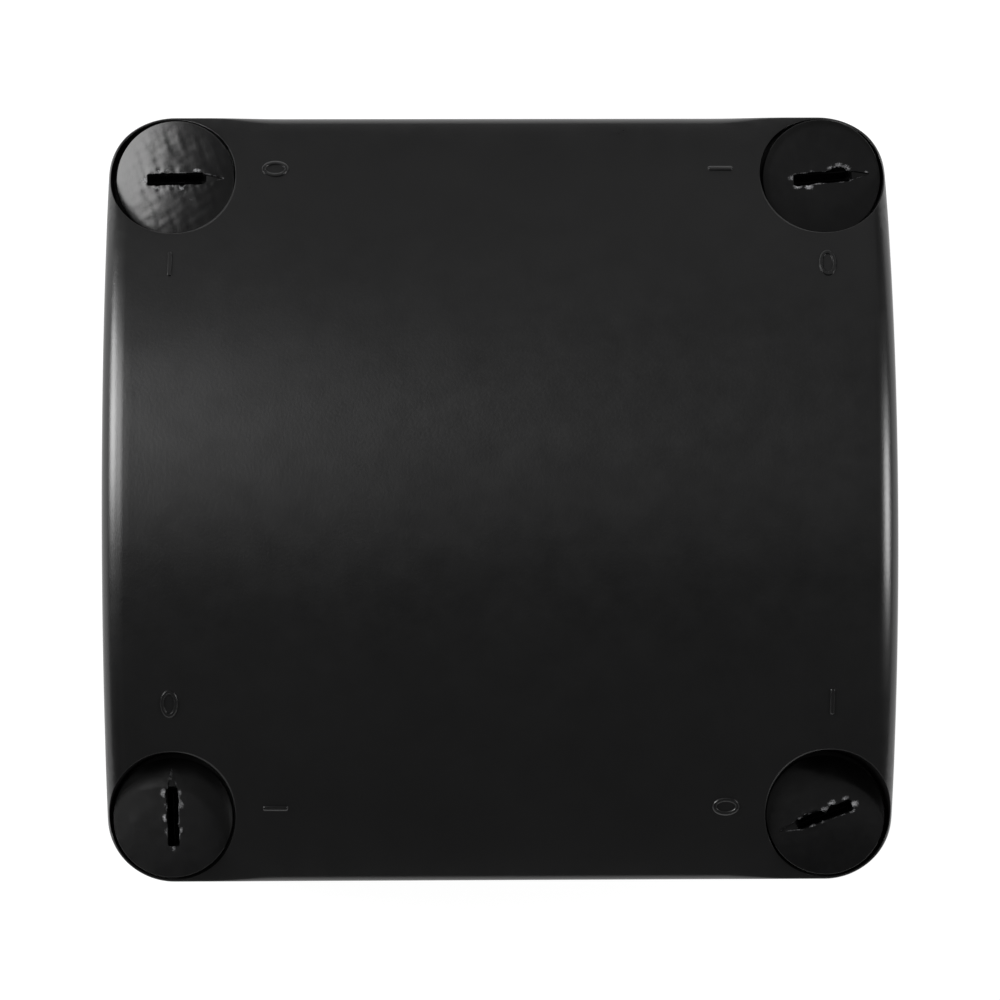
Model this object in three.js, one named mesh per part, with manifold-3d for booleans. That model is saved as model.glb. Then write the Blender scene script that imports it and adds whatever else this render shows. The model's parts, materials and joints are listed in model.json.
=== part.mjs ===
// Mesh wifi node in a square weatherproof housing, built as it comes apart on a bench.
// A drafted box with four corner posts is closed by an arched lid, and four quarter-turn
// screws in the lid's corner wells hook under a ledge in the posts. A radio board stands on
// four bosses inside, with an antenna on each side wall and two cable entries below.
//
// Millimetres. The back face lies on z = 0 and the lid faces +Z. Seen from the lid, +X is to
// the right and the cable entries are in the -Y wall, which faces down on a wall.

import * as THREE from "three";
import { mergeVertices } from "three/addons/utils/BufferGeometryUtils.js";
import Module from "manifold-3d";

const wasm = await Module();
wasm.setup();

// ---------------------------------------------------------------- driving dimensions

const GAP = 0.3; // between pieces that touch on the real object
const ARC = 5; // facets in each eighth of a turn of an outline

const HALF_X = 55; // half the lid's width
const HALF_Y = 54.2; // half the lid's height as it hangs on a wall
const HEIGHT = 66; // back face to the lid's crown
const PARTING = 40; // top of the box's wall
const ARCH_RISE = 18; // crown above the lid's top and bottom edges
const CORNER_R = 9.2; // plan radius of the lid's corners
const AXIS_X = HALF_X - CORNER_R; // each screw's axis
const AXIS_Y = HALF_Y - CORNER_R;

const arch = {
  radius: (HALF_Y ** 2 + ARCH_RISE ** 2) / (2 * ARCH_RISE),
  skin: 2.4, // thickness of the lid's top
  roll: 3.2, // radius of the rolled left and right edges
};
arch.centreZ = HEIGHT - arch.radius; // height of the arch's axis, which runs along X

// Insets count inward from the plan outline of the lid's skirt, all the way round.
const box = {
  insetTop: 0.4,
  insetBack: 1.4, // the walls draw in towards the back
  insetMiddle: 0.9, // halfway down, where the cable entries are
  floor: 2.8,
  backRecess: 0.8,
  backRecessEdge: 15, // from the outline to the recess
  cavityInset: 3.4,
  postR: 9.2,
};
const cavityX = HALF_X - box.cavityInset;
const cavityY = HALF_Y - box.cavityInset;

const lid = {
  roomInset: 2.6,
  wellWallR: 10.2,
  wellR: 8.85,
  wellFloor: 45.2,
  rimTop: 44.6, // top of the thick rim that holds the gasket
  rimWidth: 1.3, // from the cavity's outline to the inside of the rim
  tongueBottom: 37.5,
  markHeight: 0.25,
};

// Offsets out from the cavity's outline.
const gasket = { inner: 0.2, outer: 1.3, groove: 1.6, top: 42.3 };

const screw = {
  headR: 8.5,
  headTop: 51.5,
  headBottom: 45.5,
  shankR: 3.4,
  bottom: 26.5,
  slot: { length: 8, width: 1.6, depth: 3.2 },
  arrow: { length: 3.1, width: 1.6, depth: 0.6 },
  lug: { reach: 6.2, width: 3.6, bottom: 28.5, top: 33.7 },
};

const socket = {
  boreR: 3.7,
  chamberR: 6.8,
  wayR: 6.6, // the open sector through the ledge
  chamberFloor: 24,
  ledgeBottom: 34,
  lugRoom: 36, // degrees either side of the lug's middle
  wallScrewR: 2.3,
};

// The turn is counted from the 0 mark, anticlockwise seen from the lid.
const LOCKED = -90;
const FREE_END = 100;

const MARK_DISTANCE = 14.4; // from a screw's axis to each of its two marks
const MARK_RAISE = 1; // the marks sit this much higher on the lid than the screws' axes

// Each corner: where its screw stands, the direction of its 0 mark, and how far past that
// mark the screw stands at rest.
const corners = [
  { name: "top_left", x: -AXIS_X, y: AXIS_Y, openAt: 0, turn: 1 },
  { name: "bottom_left", x: -AXIS_X, y: -AXIS_Y, openAt: 90, turn: 2 },
  { name: "bottom_right", x: AXIS_X, y: -AXIS_Y, openAt: 180, turn: 20 },
  { name: "top_right", x: AXIS_X, y: AXIS_Y, openAt: 270, turn: 95 },
];

const board = {
  halfX: 46,
  bottomY: -20,
  topY: 47,
  notch: 34.4, // the top corners are cut back to here, clear of the posts
  z: 13,
  thickness: 1.6,
  bosses: [
    [-41.5, -15.5],
    [41.5, -15.5],
    [-29.5, 42.5],
    [29.5, 42.5],
  ],
};
board.top = board.z + board.thickness;
const SEAT = board.top + 0.2; // where parts stand on the board

const entryZ = 21; // height of the cable entries above the back face

// ---------------------------------------------------------------- materials

const plastic = (color, roughness) =>
  new THREE.MeshStandardMaterial({ color, roughness, metalness: 0 });
const metal = (color, roughness) =>
  new THREE.MeshStandardMaterial({ color, roughness, metalness: 1 });

const materials = {
  housing: plastic(0x1d1d1e, 0.5),
  screw: plastic(0x1a1a1b, 0.42),
  seal: plastic(0x202021, 0.8),
  vent: plastic(0x2b2b2c, 0.6),
  membrane: plastic(0xe6e6e2, 0.9),
  board: plastic(0x12402a, 0.35),
  chip: plastic(0x161617, 0.5),
  connector: plastic(0x1b1b1c, 0.45),
  terminal: plastic(0x2f7d46, 0.45),
  ferrite: plastic(0x35322f, 0.75),
  capacitor: plastic(0x20222a, 0.35),
  led: plastic(0xf2f0dc, 0.25),
  ceramic: plastic(0xd9d2c4, 0.4),
  button: plastic(0x8c2b22, 0.45),
  foam: plastic(0x3a3a3a, 0.95),
  coax: plastic(0x4b4b4d, 0.5),
  steel: metal(0xb9bcc0, 0.35),
  tin: metal(0xc6c8ca, 0.3),
  gold: metal(0xd6ae52, 0.3),
  heatsink: metal(0x2c2d30, 0.5),
};

// ---------------------------------------------------------------- solids

// A closed three.js geometry as a manifold-3d solid.
function solidOf(geometry) {
  const bare = geometry.clone();
  for (const name of Object.keys(bare.attributes)) {
    if (name !== "position") bare.deleteAttribute(name);
  }
  const merged = mergeVertices(bare, 1e-4);
  const mesh = new wasm.Mesh({
    numProp: 3,
    vertProperties: merged.attributes.position.array,
    triVerts: new Uint32Array(merged.index.array),
  });
  return new wasm.Manifold(mesh);
}

function geometryOf(solid) {
  const mesh = solid.getMesh();
  const geometry = new THREE.BufferGeometry();
  const position = new THREE.BufferAttribute(new Float32Array(mesh.vertProperties), 3);
  geometry.setAttribute("position", position);
  geometry.setIndex(new THREE.BufferAttribute(new Uint32Array(mesh.triVerts), 1));
  geometry.computeVertexNormals();
  return geometry;
}

const union = (...solids) => solids.reduce((a, b) => a.add(b));
const cut = (solid, ...tools) => tools.reduce((a, b) => a.subtract(b), solid);

function prism(shape, z0, z1, curveSegments = ARC) {
  const geometry = new THREE.ExtrudeGeometry(shape, {
    depth: z1 - z0,
    bevelEnabled: false,
    curveSegments,
  });
  return solidOf(geometry.translate(0, 0, z0));
}

function block(x0, x1, y0, y1, z0, z1) {
  const geometry = new THREE.BoxGeometry(x1 - x0, y1 - y0, z1 - z0);
  return solidOf(geometry.translate((x0 + x1) / 2, (y0 + y1) / 2, (z0 + z1) / 2));
}

// A cylinder standing along Z.
function cylinder(r, z0, z1, x = 0, y = 0, segments = 20) {
  const geometry = new THREE.CylinderGeometry(r, r, z1 - z0, segments);
  geometry.rotateX(Math.PI / 2);
  return solidOf(geometry.translate(x, y, (z0 + z1) / 2));
}

// A cylinder lying along Y, from y0 to y1.
function cylinderAlongY(r, y0, y1, x, z, segments = 28) {
  const geometry = new THREE.CylinderGeometry(r, r, y1 - y0, segments);
  return solidOf(geometry.translate(x, (y0 + y1) / 2, z));
}

// A profile of [radius, height] pairs, listed from bottom to top, turned about Y.
function turned(profile, segments) {
  const points = profile.map(([r, h]) => new THREE.Vector2(r, h));
  return new THREE.LatheGeometry(points, segments);
}

function roundedRectangle(halfX, halfY, r) {
  const x = halfX - r;
  const y = halfY - r;
  const shape = new THREE.Shape();
  shape.absarc(x, y, r, 0, Math.PI / 2);
  shape.absarc(-x, y, r, Math.PI / 2, Math.PI);
  shape.absarc(-x, -y, r, Math.PI, Math.PI * 1.5);
  shape.absarc(x, -y, r, Math.PI * 1.5, Math.PI * 2);
  return shape;
}

// The outline drawn in by `inset`, with its corners bitten out by circles about the screws.
function bittenOutline(inset, biteR) {
  const from = Math.acos((CORNER_R - inset) / biteR); // where the circle meets the side
  const shape = new THREE.Shape();
  const bites = [
    [AXIS_X, AXIS_Y, 0],
    [-AXIS_X, AXIS_Y, Math.PI / 2],
    [-AXIS_X, -AXIS_Y, Math.PI],
    [AXIS_X, -AXIS_Y, Math.PI * 1.5],
  ];
  for (const [x, y, a] of bites) {
    shape.absarc(x, y, biteR, a - from, a + Math.PI / 2 + from - Math.PI * 2, true);
  }
  return shape;
}

function sector(r, fromDegrees, toDegrees) {
  const shape = new THREE.Shape();
  shape.moveTo(0, 0);
  shape.absarc(0, 0, r, THREE.MathUtils.degToRad(fromDegrees), THREE.MathUtils.degToRad(toDegrees));
  shape.lineTo(0, 0);
  return shape;
}

// A prism with round corners about the screws, whose sides lean between two insets.
function draftedBlock(insetLow, insetHigh, z0, z1, steps = 7) {
  const ring = (inset, z) => {
    const points = [];
    for (let corner = 0; corner < 4; corner++) {
      for (let i = 0; i <= steps; i++) {
        const a = (corner + i / steps) * (Math.PI / 2);
        const sx = corner === 0 || corner === 3 ? 1 : -1;
        const sy = corner < 2 ? 1 : -1;
        const r = CORNER_R - inset;
        points.push([sx * AXIS_X + r * Math.cos(a), sy * AXIS_Y + r * Math.sin(a), z]);
      }
    }
    return points;
  };
  const low = ring(insetLow, z0);
  const high = ring(insetHigh, z1);
  const n = low.length;
  const index = [];
  for (let i = 0; i < n; i++) {
    const j = (i + 1) % n;
    index.push(i, j, n + j, i, n + j, n + i);
  }
  for (let i = 1; i < n - 1; i++) {
    index.push(0, i + 1, i, n, n + i, n + i + 1);
  }
  const geometry = new THREE.BufferGeometry();
  const position = new Float32Array([...low, ...high].flat());
  geometry.setAttribute("position", new THREE.BufferAttribute(position, 3));
  geometry.setIndex(index);
  return solidOf(geometry);
}

// Everything under an arch with its axis along X, `inset` below the lid's skin, with its two
// ends rolled over by `roll`.
function underArch(inset, roll) {
  const half = HALF_X;
  const r = arch.radius - inset;
  const rolled = (end) => {
    const steps = 5;
    const points = [];
    for (let i = 0; i <= steps; i++) {
      const a = (i / steps) * (Math.PI / 2);
      const drop = roll * (1 - Math.sin(a));
      points.push([r - drop, end * (half - roll * (1 - Math.cos(a)))]);
    }
    return points;
  };
  const sharp = (end) => [[r, end * half]];
  const low = roll ? rolled(-1) : sharp(-1);
  const high = roll ? rolled(1).reverse() : sharp(1);
  const geometry = turned([[0, -half], ...low, ...high, [0, half]], 128);
  geometry.rotateZ(-Math.PI / 2).translate(0, 0, arch.centreZ);
  return solidOf(geometry);
}

// ---------------------------------------------------------------- the assembly

const node = new THREE.Group();

function addMesh(parent, name, shape, material) {
  const geometry = shape.isBufferGeometry ? shape : geometryOf(shape);
  const mesh = new THREE.Mesh(geometry, material);
  mesh.name = name;
  parent.add(mesh);
  return mesh;
}

// ---------------------------------------------------------------- box

// The socket that one screw's foot turns in: a bore down to a chamber, and a sector cut
// through the ledge above the chamber, where the lug passes when the lid lifts.
function socketCuts(corner) {
  const from = corner.openAt - socket.lugRoom;
  const to = corner.openAt + FREE_END + socket.lugRoom;
  const way = prism(sector(socket.wayR, from, to), socket.ledgeBottom - 1, PARTING + 1, 9);
  const { x, y } = corner;
  return [
    way.translate([x, y, 0]),
    cylinder(socket.boreR, socket.chamberFloor, PARTING + 1, x, y),
    cylinder(socket.chamberR, socket.chamberFloor, socket.ledgeBottom, x, y),
    cylinder(socket.wallScrewR, -1, socket.chamberFloor + 1, x, y, 12),
  ];
}

// Each cable entry: its place along the lower wall and the radii of its hole and flanges.
const entries = [
  { name: "ethernet_entry_seal", x: -21, hole: 12.6, flange: 14.9, inner: 13.6, cup: 10.8 },
  { name: "power_entry_seal", x: 10, hole: 10.1, flange: 12.2, inner: 11.1, cup: 8.4 },
];
const vent = { x: 31, hole: 4.2, flange: 6.2 };
const seatY = -(HALF_Y - 1.7); // floor of the shallow seat under each flange

function entryCuts({ x, hole, flange }) {
  return [
    cylinderAlongY(hole, -HALF_Y - 1, -cavityY + 1, x, entryZ),
    cylinderAlongY(flange + GAP, -HALF_Y - 1, seatY, x, entryZ),
  ];
}

// A ring groove that marks a knock-out in one of the other three walls.
function knockOut(quarterTurns) {
  const wall = (quarterTurns === 0 ? HALF_Y : HALF_X) - box.insetMiddle;
  const outer = cylinderAlongY(13.2, wall - 0.6, wall + 2, 0, entryZ);
  const core = cylinderAlongY(12.4, wall - 1, wall + 3, 0, entryZ);
  return cut(outer, core).rotate([0, 0, quarterTurns * 90]);
}

function boxSolid() {
  const cavity = prism(bittenOutline(box.cavityInset, box.postR), box.floor, PARTING + 1);
  const recessX = HALF_X - box.backRecessEdge;
  const recessY = HALF_Y - box.backRecessEdge;
  const recess = prism(roundedRectangle(recessX, recessY, 6), -1, box.backRecess, 3);
  const shell = cut(
    draftedBlock(box.insetBack, box.insetTop, 0, PARTING),
    cavity,
    recess,
    ...corners.flatMap(socketCuts),
    ...[...entries, vent].flatMap(entryCuts),
    ...[0, 1, 3].map(knockOut),
  );
  const bosses = board.bosses.map(([x, y]) => {
    const post = cylinder(3.2, box.floor - 0.5, board.z - 0.2, x, y, 14);
    return post.subtract(cylinder(1.5, box.floor + 2, board.z, x, y, 10));
  });
  return union(shell, ...bosses);
}

addMesh(node, "base_box", boxSolid(), materials.housing);

// ---------------------------------------------------------------- entries and vent

// A soft plug that snaps into a wall hole: a flange outside, a neck, a wider lip inside, and
// a stepped web that is pierced for the cable.
function entrySeal({ hole, flange, inner, cup }) {
  const neck = hole - GAP;
  const outer = HALF_Y - 0.1; // outermost face
  const seat = -seatY + GAP;
  const inside = cavityY - GAP;
  const profile = [
    [0, inside + 1.2],
    [cup, inside + 1.2],
    [cup, inside - 1.8],
    [inner - 0.6, inside - 1.8],
    [inner, inside],
    [neck, inside],
    [neck, seat],
    [flange, seat],
    [flange, outer - 0.5],
    [flange - 0.5, outer],
    [cup * 0.95, outer],
    [cup * 0.9, outer - 0.7],
    [0, outer - 0.7],
  ];
  return turned(profile, 28);
}

function ventPlug() {
  const outer = HALF_Y - 0.1;
  const seat = -seatY + GAP;
  const inside = cavityY - GAP;
  const stem = vent.hole - GAP;
  const profile = [
    [0, outer - 1.1],
    [2.4, outer - 1.1],
    [2.4, inside - 2.7],
    [3.3, inside - 2.7],
    [4.7, inside - 0.9],
    [4.7, inside],
    [stem, inside],
    [stem, seat],
    [vent.flange, seat],
    [vent.flange, outer - 0.6],
    [vent.flange - 0.6, outer],
    [0, outer],
  ];
  return turned(profile, 18);
}

// Pieces turned about the outward direction of the lower wall.
function addToLowerWall(name, geometry, x, material) {
  const mesh = addMesh(node, name, geometry, material);
  mesh.rotation.x = Math.PI;
  mesh.position.set(x, 0, entryZ);
}

for (const entry of entries) {
  addToLowerWall(entry.name, entrySeal(entry), entry.x, materials.seal);
}
addToLowerWall("vent_plug", ventPlug(), vent.x, materials.vent);
const ventDisc = new THREE.CylinderGeometry(2.1, 2.1, 0.4, 20).translate(0, HALF_Y - 1.7, 0);
addToLowerWall("vent_membrane", ventDisc, vent.x, materials.membrane);

// ---------------------------------------------------------------- lid

const markDepth = 3; // how far a mark's solid is sunk into the lid before it is joined

function ringMark() {
  const outline = new THREE.Shape();
  outline.absellipse(0, 0, 1.85, 1.2, 0, Math.PI * 2);
  const hole = new THREE.Path();
  hole.absellipse(0, 0, 1.35, 0.7, 0, Math.PI * 2);
  outline.holes.push(hole);
  return prism(outline, HEIGHT - ARCH_RISE - markDepth, HEIGHT + 1);
}

const barMark = () => block(-1.75, 1.75, -0.3, 0.3, HEIGHT - ARCH_RISE - markDepth, HEIGHT + 1);

// The 0 and I of one corner, each lying along its direction from the screw.
function marks({ x, y, openAt }) {
  const place = (mark, degrees) => {
    const a = THREE.MathUtils.degToRad(degrees);
    const dx = MARK_DISTANCE * Math.cos(a);
    const dy = MARK_DISTANCE * Math.sin(a) + MARK_RAISE;
    return mark.rotate([0, 0, degrees]).translate([x + dx, y + dy, 0]);
  };
  return [place(ringMark(), openAt), place(barMark(), openAt + LOCKED)];
}

function lidSolid() {
  const bottom = PARTING + GAP;
  const outline = roundedRectangle(HALF_X, HALF_Y, CORNER_R);
  const body = prism(outline, bottom, HEIGHT + 1).intersect(underArch(0, arch.roll));
  const room = prism(bittenOutline(lid.roomInset, lid.wellWallR), lid.rimTop, HEIGHT);
  const hollow = room.intersect(underArch(arch.skin, 0));
  const rimHole = prism(
    bittenOutline(box.cavityInset + lid.rimWidth, box.postR + lid.rimWidth),
    lid.tongueBottom - 1,
    lid.rimTop + 1,
  );
  const groove = cut(
    prism(
      bittenOutline(box.cavityInset - gasket.groove, box.postR - gasket.groove),
      bottom - 1,
      gasket.top + GAP,
    ),
    prism(bittenOutline(box.cavityInset, box.postR), bottom - 2, HEIGHT),
  );
  const tongueOutline = bittenOutline(box.cavityInset + GAP, box.postR + GAP);
  const tongue = prism(tongueOutline, lid.tongueBottom, bottom + 1).subtract(rimHole);
  const wells = corners.flatMap(({ x, y }) => [
    cylinder(lid.wellR, lid.wellFloor, HEIGHT + 1, x, y, 40),
    cylinder(socket.boreR, lid.tongueBottom, HEIGHT, x, y),
  ]);
  const shell = union(cut(body, hollow, rimHole, groove), tongue);
  const raised = union(...corners.flatMap(marks)).intersect(
    underArch(-lid.markHeight, 0).subtract(underArch(1, 0)),
  );
  return union(cut(shell, ...wells), raised);
}

const lidGroup = new THREE.Group();
node.add(lidGroup);
addMesh(lidGroup, "lid", lidSolid(), materials.housing);

function gasketSolid() {
  const ring = (offset, z0, z1) =>
    prism(bittenOutline(box.cavityInset - offset, box.postR - offset), z0, z1);
  const low = PARTING + GAP;
  return cut(ring(gasket.outer, low, gasket.top), ring(gasket.inner, low - 1, gasket.top + 1));
}

addMesh(lidGroup, "lid_gasket", gasketSolid(), materials.seal);

// ---------------------------------------------------------------- quarter-turn screws

// One screw about its own axis, with its arrow and lug along +X.
function lidScrewSolid() {
  const { slot, arrow, lug } = screw;
  const top = screw.headTop;
  const profile = [
    [0, screw.bottom],
    [screw.shankR - 0.6, screw.bottom],
    [screw.shankR, screw.bottom + 0.6],
    [screw.shankR, screw.headBottom],
    [screw.headR, screw.headBottom],
    [screw.headR, top - 0.5],
    [screw.headR - 0.5, top],
    [0, top],
  ];
  const turnedBody = solidOf(turned(profile, 28).rotateX(Math.PI / 2));
  const foot = block(0, lug.reach, -lug.width / 2, lug.width / 2, lug.bottom, lug.top);
  const rounded = foot.intersect(cylinder(lug.reach, lug.bottom - 1, lug.top + 1));
  const half = slot.length / 2;
  const pointer = new THREE.Shape();
  pointer.moveTo(half - 0.1, -arrow.width / 2);
  pointer.lineTo(half + arrow.length, 0);
  pointer.lineTo(half - 0.1, arrow.width / 2);
  return cut(
    union(turnedBody, rounded),
    block(-half, half, -slot.width / 2, slot.width / 2, top - slot.depth, top + 1),
    prism(pointer, top - arrow.depth, top + 1),
  );
}

for (const { name, x, y, openAt, turn } of corners) {
  const mesh = addMesh(lidGroup, `lid_screw_${name}`, lidScrewSolid(), materials.screw);
  mesh.position.set(x, y, 0);
  mesh.rotation.z = THREE.MathUtils.degToRad(openAt + turn);
}

// ---------------------------------------------------------------- board

const boardGroup = new THREE.Group();
node.add(boardGroup);

function boardSolid() {
  const { halfX, bottomY, topY, notch } = board;
  const outline = new THREE.Shape();
  outline.moveTo(-halfX, bottomY);
  outline.lineTo(halfX, bottomY);
  outline.lineTo(halfX, notch);
  outline.lineTo(notch, notch);
  outline.lineTo(notch, topY);
  outline.lineTo(-notch, topY);
  outline.lineTo(-notch, notch);
  outline.lineTo(-halfX, notch);
  const plate = prism(outline, board.z, board.top);
  const holes = board.bosses.map(([x, y]) => cylinder(1.7, 0, HEIGHT, x, y, 10));
  return cut(plate, ...holes);
}

addMesh(boardGroup, "main_board", boardSolid(), materials.board);

function boardScrewSolid(x, y) {
  const shank = cylinder(1.2, 6.5, board.top + 0.4, x, y, 8);
  const head = cylinder(2.8, SEAT, SEAT + 1.9, x, y, 14);
  const driver = (dx, dy) => block(x - dx, x + dx, y - dy, y + dy, SEAT + 0.9, SEAT + 3);
  return cut(union(shank, head), driver(1.5, 0.35), driver(0.35, 1.5));
}

board.bosses.forEach(([x, y], i) => {
  addMesh(boardGroup, `board_screw_${i + 1}`, boardScrewSolid(x, y), materials.steel);
});

// Flat packages: centre, size along x and y, bottom above the board's seat, and height.
const packages = [
  { name: "processor", at: [4, 24], size: [19, 19], height: 1.6, look: "chip" },
  { name: "thermal_pad", at: [4, 24], size: [17, 17], lift: 1.8, height: 0.8, look: "foam" },
  { name: "memory_chip_1", at: [27, 16], size: [9, 13], height: 1.1, look: "chip" },
  { name: "memory_chip_2", at: [27, 31], size: [9, 13], height: 1.1, look: "chip" },
  { name: "flash_chip", at: [38.5, 14], size: [8, 6], height: 1.5, look: "chip" },
  { name: "radio_chip", at: [-24, 28], size: [10, 10], height: 1.0, look: "chip" },
  { name: "ethernet_transformer", at: [-27, 8.5], size: [16, 13], height: 6, look: "chip" },
  { name: "power_inductor", at: [38.5, 2], size: [10, 10], height: 5, look: "ferrite" },
  { name: "status_led_1", at: [-14.5, 1.5], size: [2.8, 1.8], height: 1.2, look: "led" },
  { name: "status_led_2", at: [-10.5, 1.5], size: [2.8, 1.8], height: 1.2, look: "led" },
  { name: "status_led_3", at: [-6.5, 1.5], size: [2.8, 1.8], height: 1.2, look: "led" },
];

for (const { name, at, size, lift = 0, height, look } of packages) {
  const geometry = new THREE.BoxGeometry(size[0], size[1], height);
  const mesh = addMesh(boardGroup, name, geometry, materials[look]);
  mesh.position.set(at[0], at[1], SEAT + lift + height / 2);
}

// The can over the radio: a fence soldered to the board and a cover that clips over it.
const can = { x: -24, y: 28.4, halfX: 9.5, halfY: 10.2, height: 3.2, sheet: 0.3 };

function canFence() {
  const { x, y, halfX, halfY, sheet } = can;
  const hx = halfX - sheet - GAP;
  const hy = halfY - sheet - GAP;
  const top = SEAT + can.height - sheet - GAP;
  const outer = block(x - hx, x + hx, y - hy, y + hy, SEAT, top);
  const room = block(x - hx + 0.3, x + hx - 0.3, y - hy + 0.3, y + hy - 0.3, 0, HEIGHT);
  return cut(outer, room);
}

function canCover() {
  const { x, y, halfX, halfY, sheet, height } = can;
  const outer = block(x - halfX, x + halfX, y - halfY, y + halfY, SEAT + 0.3, SEAT + height);
  const hx = halfX - sheet;
  const hy = halfY - sheet;
  return cut(outer, block(x - hx, x + hx, y - hy, y + hy, 0, SEAT + height - sheet));
}

addMesh(boardGroup, "radio_shield_fence", canFence(), materials.tin);
addMesh(boardGroup, "radio_shield_cover", canCover(), materials.tin);

function heatsinkSolid() {
  const [x, y, half] = [4, 24, 14];
  const bottom = SEAT + 2.8;
  const plate = block(x - half, x + half, y - half, y + half, bottom, bottom + 2.2);
  const count = 8;
  const fins = Array.from({ length: count }, (_, i) => {
    const at = x - half + 0.6 + (i * (2 * half - 1.2)) / (count - 1);
    return block(at - 0.6, at + 0.6, y - half, y + half, bottom + 2, bottom + 10);
  });
  return union(plate, ...fins);
}

addMesh(boardGroup, "heatsink", heatsinkSolid(), materials.heatsink);

// ---------------------------------------------------------------- network jack

const jack = { x: -27, halfX: 8.2, front: -22, back: -1, height: 13.5, sheet: 0.4 };

function jackShield() {
  const { x, halfX, front, back, height, sheet } = jack;
  const outer = block(x - halfX, x + halfX, front, back, SEAT, SEAT + height);
  const hx = halfX - sheet;
  const room = block(x - hx, x + hx, front - 1, back - sheet, 0, SEAT + height - sheet);
  return cut(outer, room);
}

function jackInsert() {
  const { x, halfX, front, back, height, sheet } = jack;
  const clear = sheet + GAP;
  const hx = halfX - clear;
  const body = block(x - hx, x + hx, front + 0.3, back - clear, SEAT, SEAT + height - clear);
  const port = block(x - 5.9, x + 5.9, front - 1, front + 14.6, SEAT + 2.6, SEAT + 10.8);
  const latch = block(x - 3.1, x + 3.1, front - 1, front + 9, SEAT + 10, SEAT + 12.2);
  return cut(body, port, latch);
}

addMesh(boardGroup, "ethernet_jack_shield", jackShield(), materials.tin);
addMesh(boardGroup, "ethernet_jack_insert", jackInsert(), materials.connector);

// ---------------------------------------------------------------- power input

const terminal = { x: 22, halfX: 7.9, front: -20.5, back: -10, height: 12.5, pitch: 5.08 };
const poles = [-1, 0, 1].map((i) => terminal.x + i * terminal.pitch);
const poleY = (terminal.front + terminal.back) / 2;

function terminalSolid() {
  const { x, halfX, front, back, height } = terminal;
  const body = block(x - halfX, x + halfX, front, back, SEAT, SEAT + height);
  const step = block(x - halfX - 1, x + halfX + 1, front - 1, front + 2.4, SEAT + 8.5, HEIGHT);
  const ways = poles.flatMap((px) => [
    block(px - 1.7, px + 1.7, front - 1, front + 6, SEAT + 1.6, SEAT + 6),
    cylinder(2.1, SEAT + 6.8, HEIGHT, px, poleY, 20),
  ]);
  return cut(body, step, ...ways);
}

addMesh(boardGroup, "terminal_block", terminalSolid(), materials.terminal);

function terminalScrewSolid(x) {
  const top = SEAT + 11.2;
  const body = cylinder(1.8, SEAT + 7.1, top, x, poleY, 20);
  return body.subtract(block(x - 2, x + 2, poleY - 0.35, poleY + 0.35, top - 1, top + 1));
}

poles.forEach((x, i) => {
  addMesh(boardGroup, `terminal_screw_${i + 1}`, terminalScrewSolid(x), materials.steel);
});

// A can on a round foot, with the rolled neck that holds the rubber bung.
function capacitor() {
  const profile = [
    [0, 0],
    [4.6, 0],
    [5, 0.4],
    [5, 1.6],
    [4.6, 2.1],
    [5, 2.6],
    [5, 11.1],
    [4.6, 11.5],
    [0, 11.5],
  ];
  return turned(profile, 18).rotateX(Math.PI / 2);
}

[-13.5, -2.5].forEach((y, i) => {
  const mesh = addMesh(boardGroup, `capacitor_${i + 1}`, capacitor(), materials.capacitor);
  mesh.position.set(6, y, SEAT);
});

// The isolating transformer: two ferrite halves around a wound bobbin.
function transformerSolid() {
  const [x, y] = [22, 0];
  const core = block(x - 9, x + 9, y - 4, y + 4, SEAT + 1.5, SEAT + 11);
  const bobbin = block(x - 5.6, x + 5.6, y - 7.2, y + 7.2, SEAT + 2.6, SEAT + 10);
  const foot = block(x - 7, x + 7, y - 7.5, y + 7.5, SEAT, SEAT + 2.6);
  return union(core, bobbin, foot);
}

addMesh(boardGroup, "power_transformer", transformerSolid(), materials.ferrite);

const arrester = new THREE.CylinderGeometry(2.6, 2.6, 6.5, 20).rotateZ(Math.PI / 2);
const arresterMesh = addMesh(boardGroup, "surge_arrester", arrester, materials.ceramic);
arresterMesh.position.set(-10.5, -6.5, SEAT + 2.6);

// ---------------------------------------------------------------- reset button

const reset = { x: -10.5, y: -16, half: 3, height: 3.4, buttonR: 1.7, travel: 0.5 };

function resetSwitchSolid() {
  const { x, y, half, height, buttonR } = reset;
  const body = block(x - half, x + half, y - half, y + half, SEAT, SEAT + height);
  return body.subtract(cylinder(buttonR + GAP, SEAT + 1.2, HEIGHT, x, y, 20));
}

addMesh(boardGroup, "reset_switch", resetSwitchSolid(), materials.connector);
const buttonBottom = SEAT + 1.2 + reset.travel + GAP;
const resetButton = cylinder(reset.buttonR, buttonBottom, SEAT + 5.4, reset.x, reset.y, 20);
addMesh(boardGroup, "reset_button", resetButton, materials.button);

// ---------------------------------------------------------------- antennas and their leads

const antenna = { halfY: 27, z0: 19, z1: 31, thickness: 0.8, pad: 1, feedZ: 25 };
antenna.padX = cavityX - GAP - antenna.pad / 2;
antenna.x = antenna.padX - antenna.pad / 2 - GAP - antenna.thickness / 2;
const LEAD_R = 0.65;
const leadX = antenna.x - antenna.thickness / 2 - GAP - LEAD_R; // a lead lying on the antenna
const leadZ = SEAT + 2; // height of a lead where it leaves its plug

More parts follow.
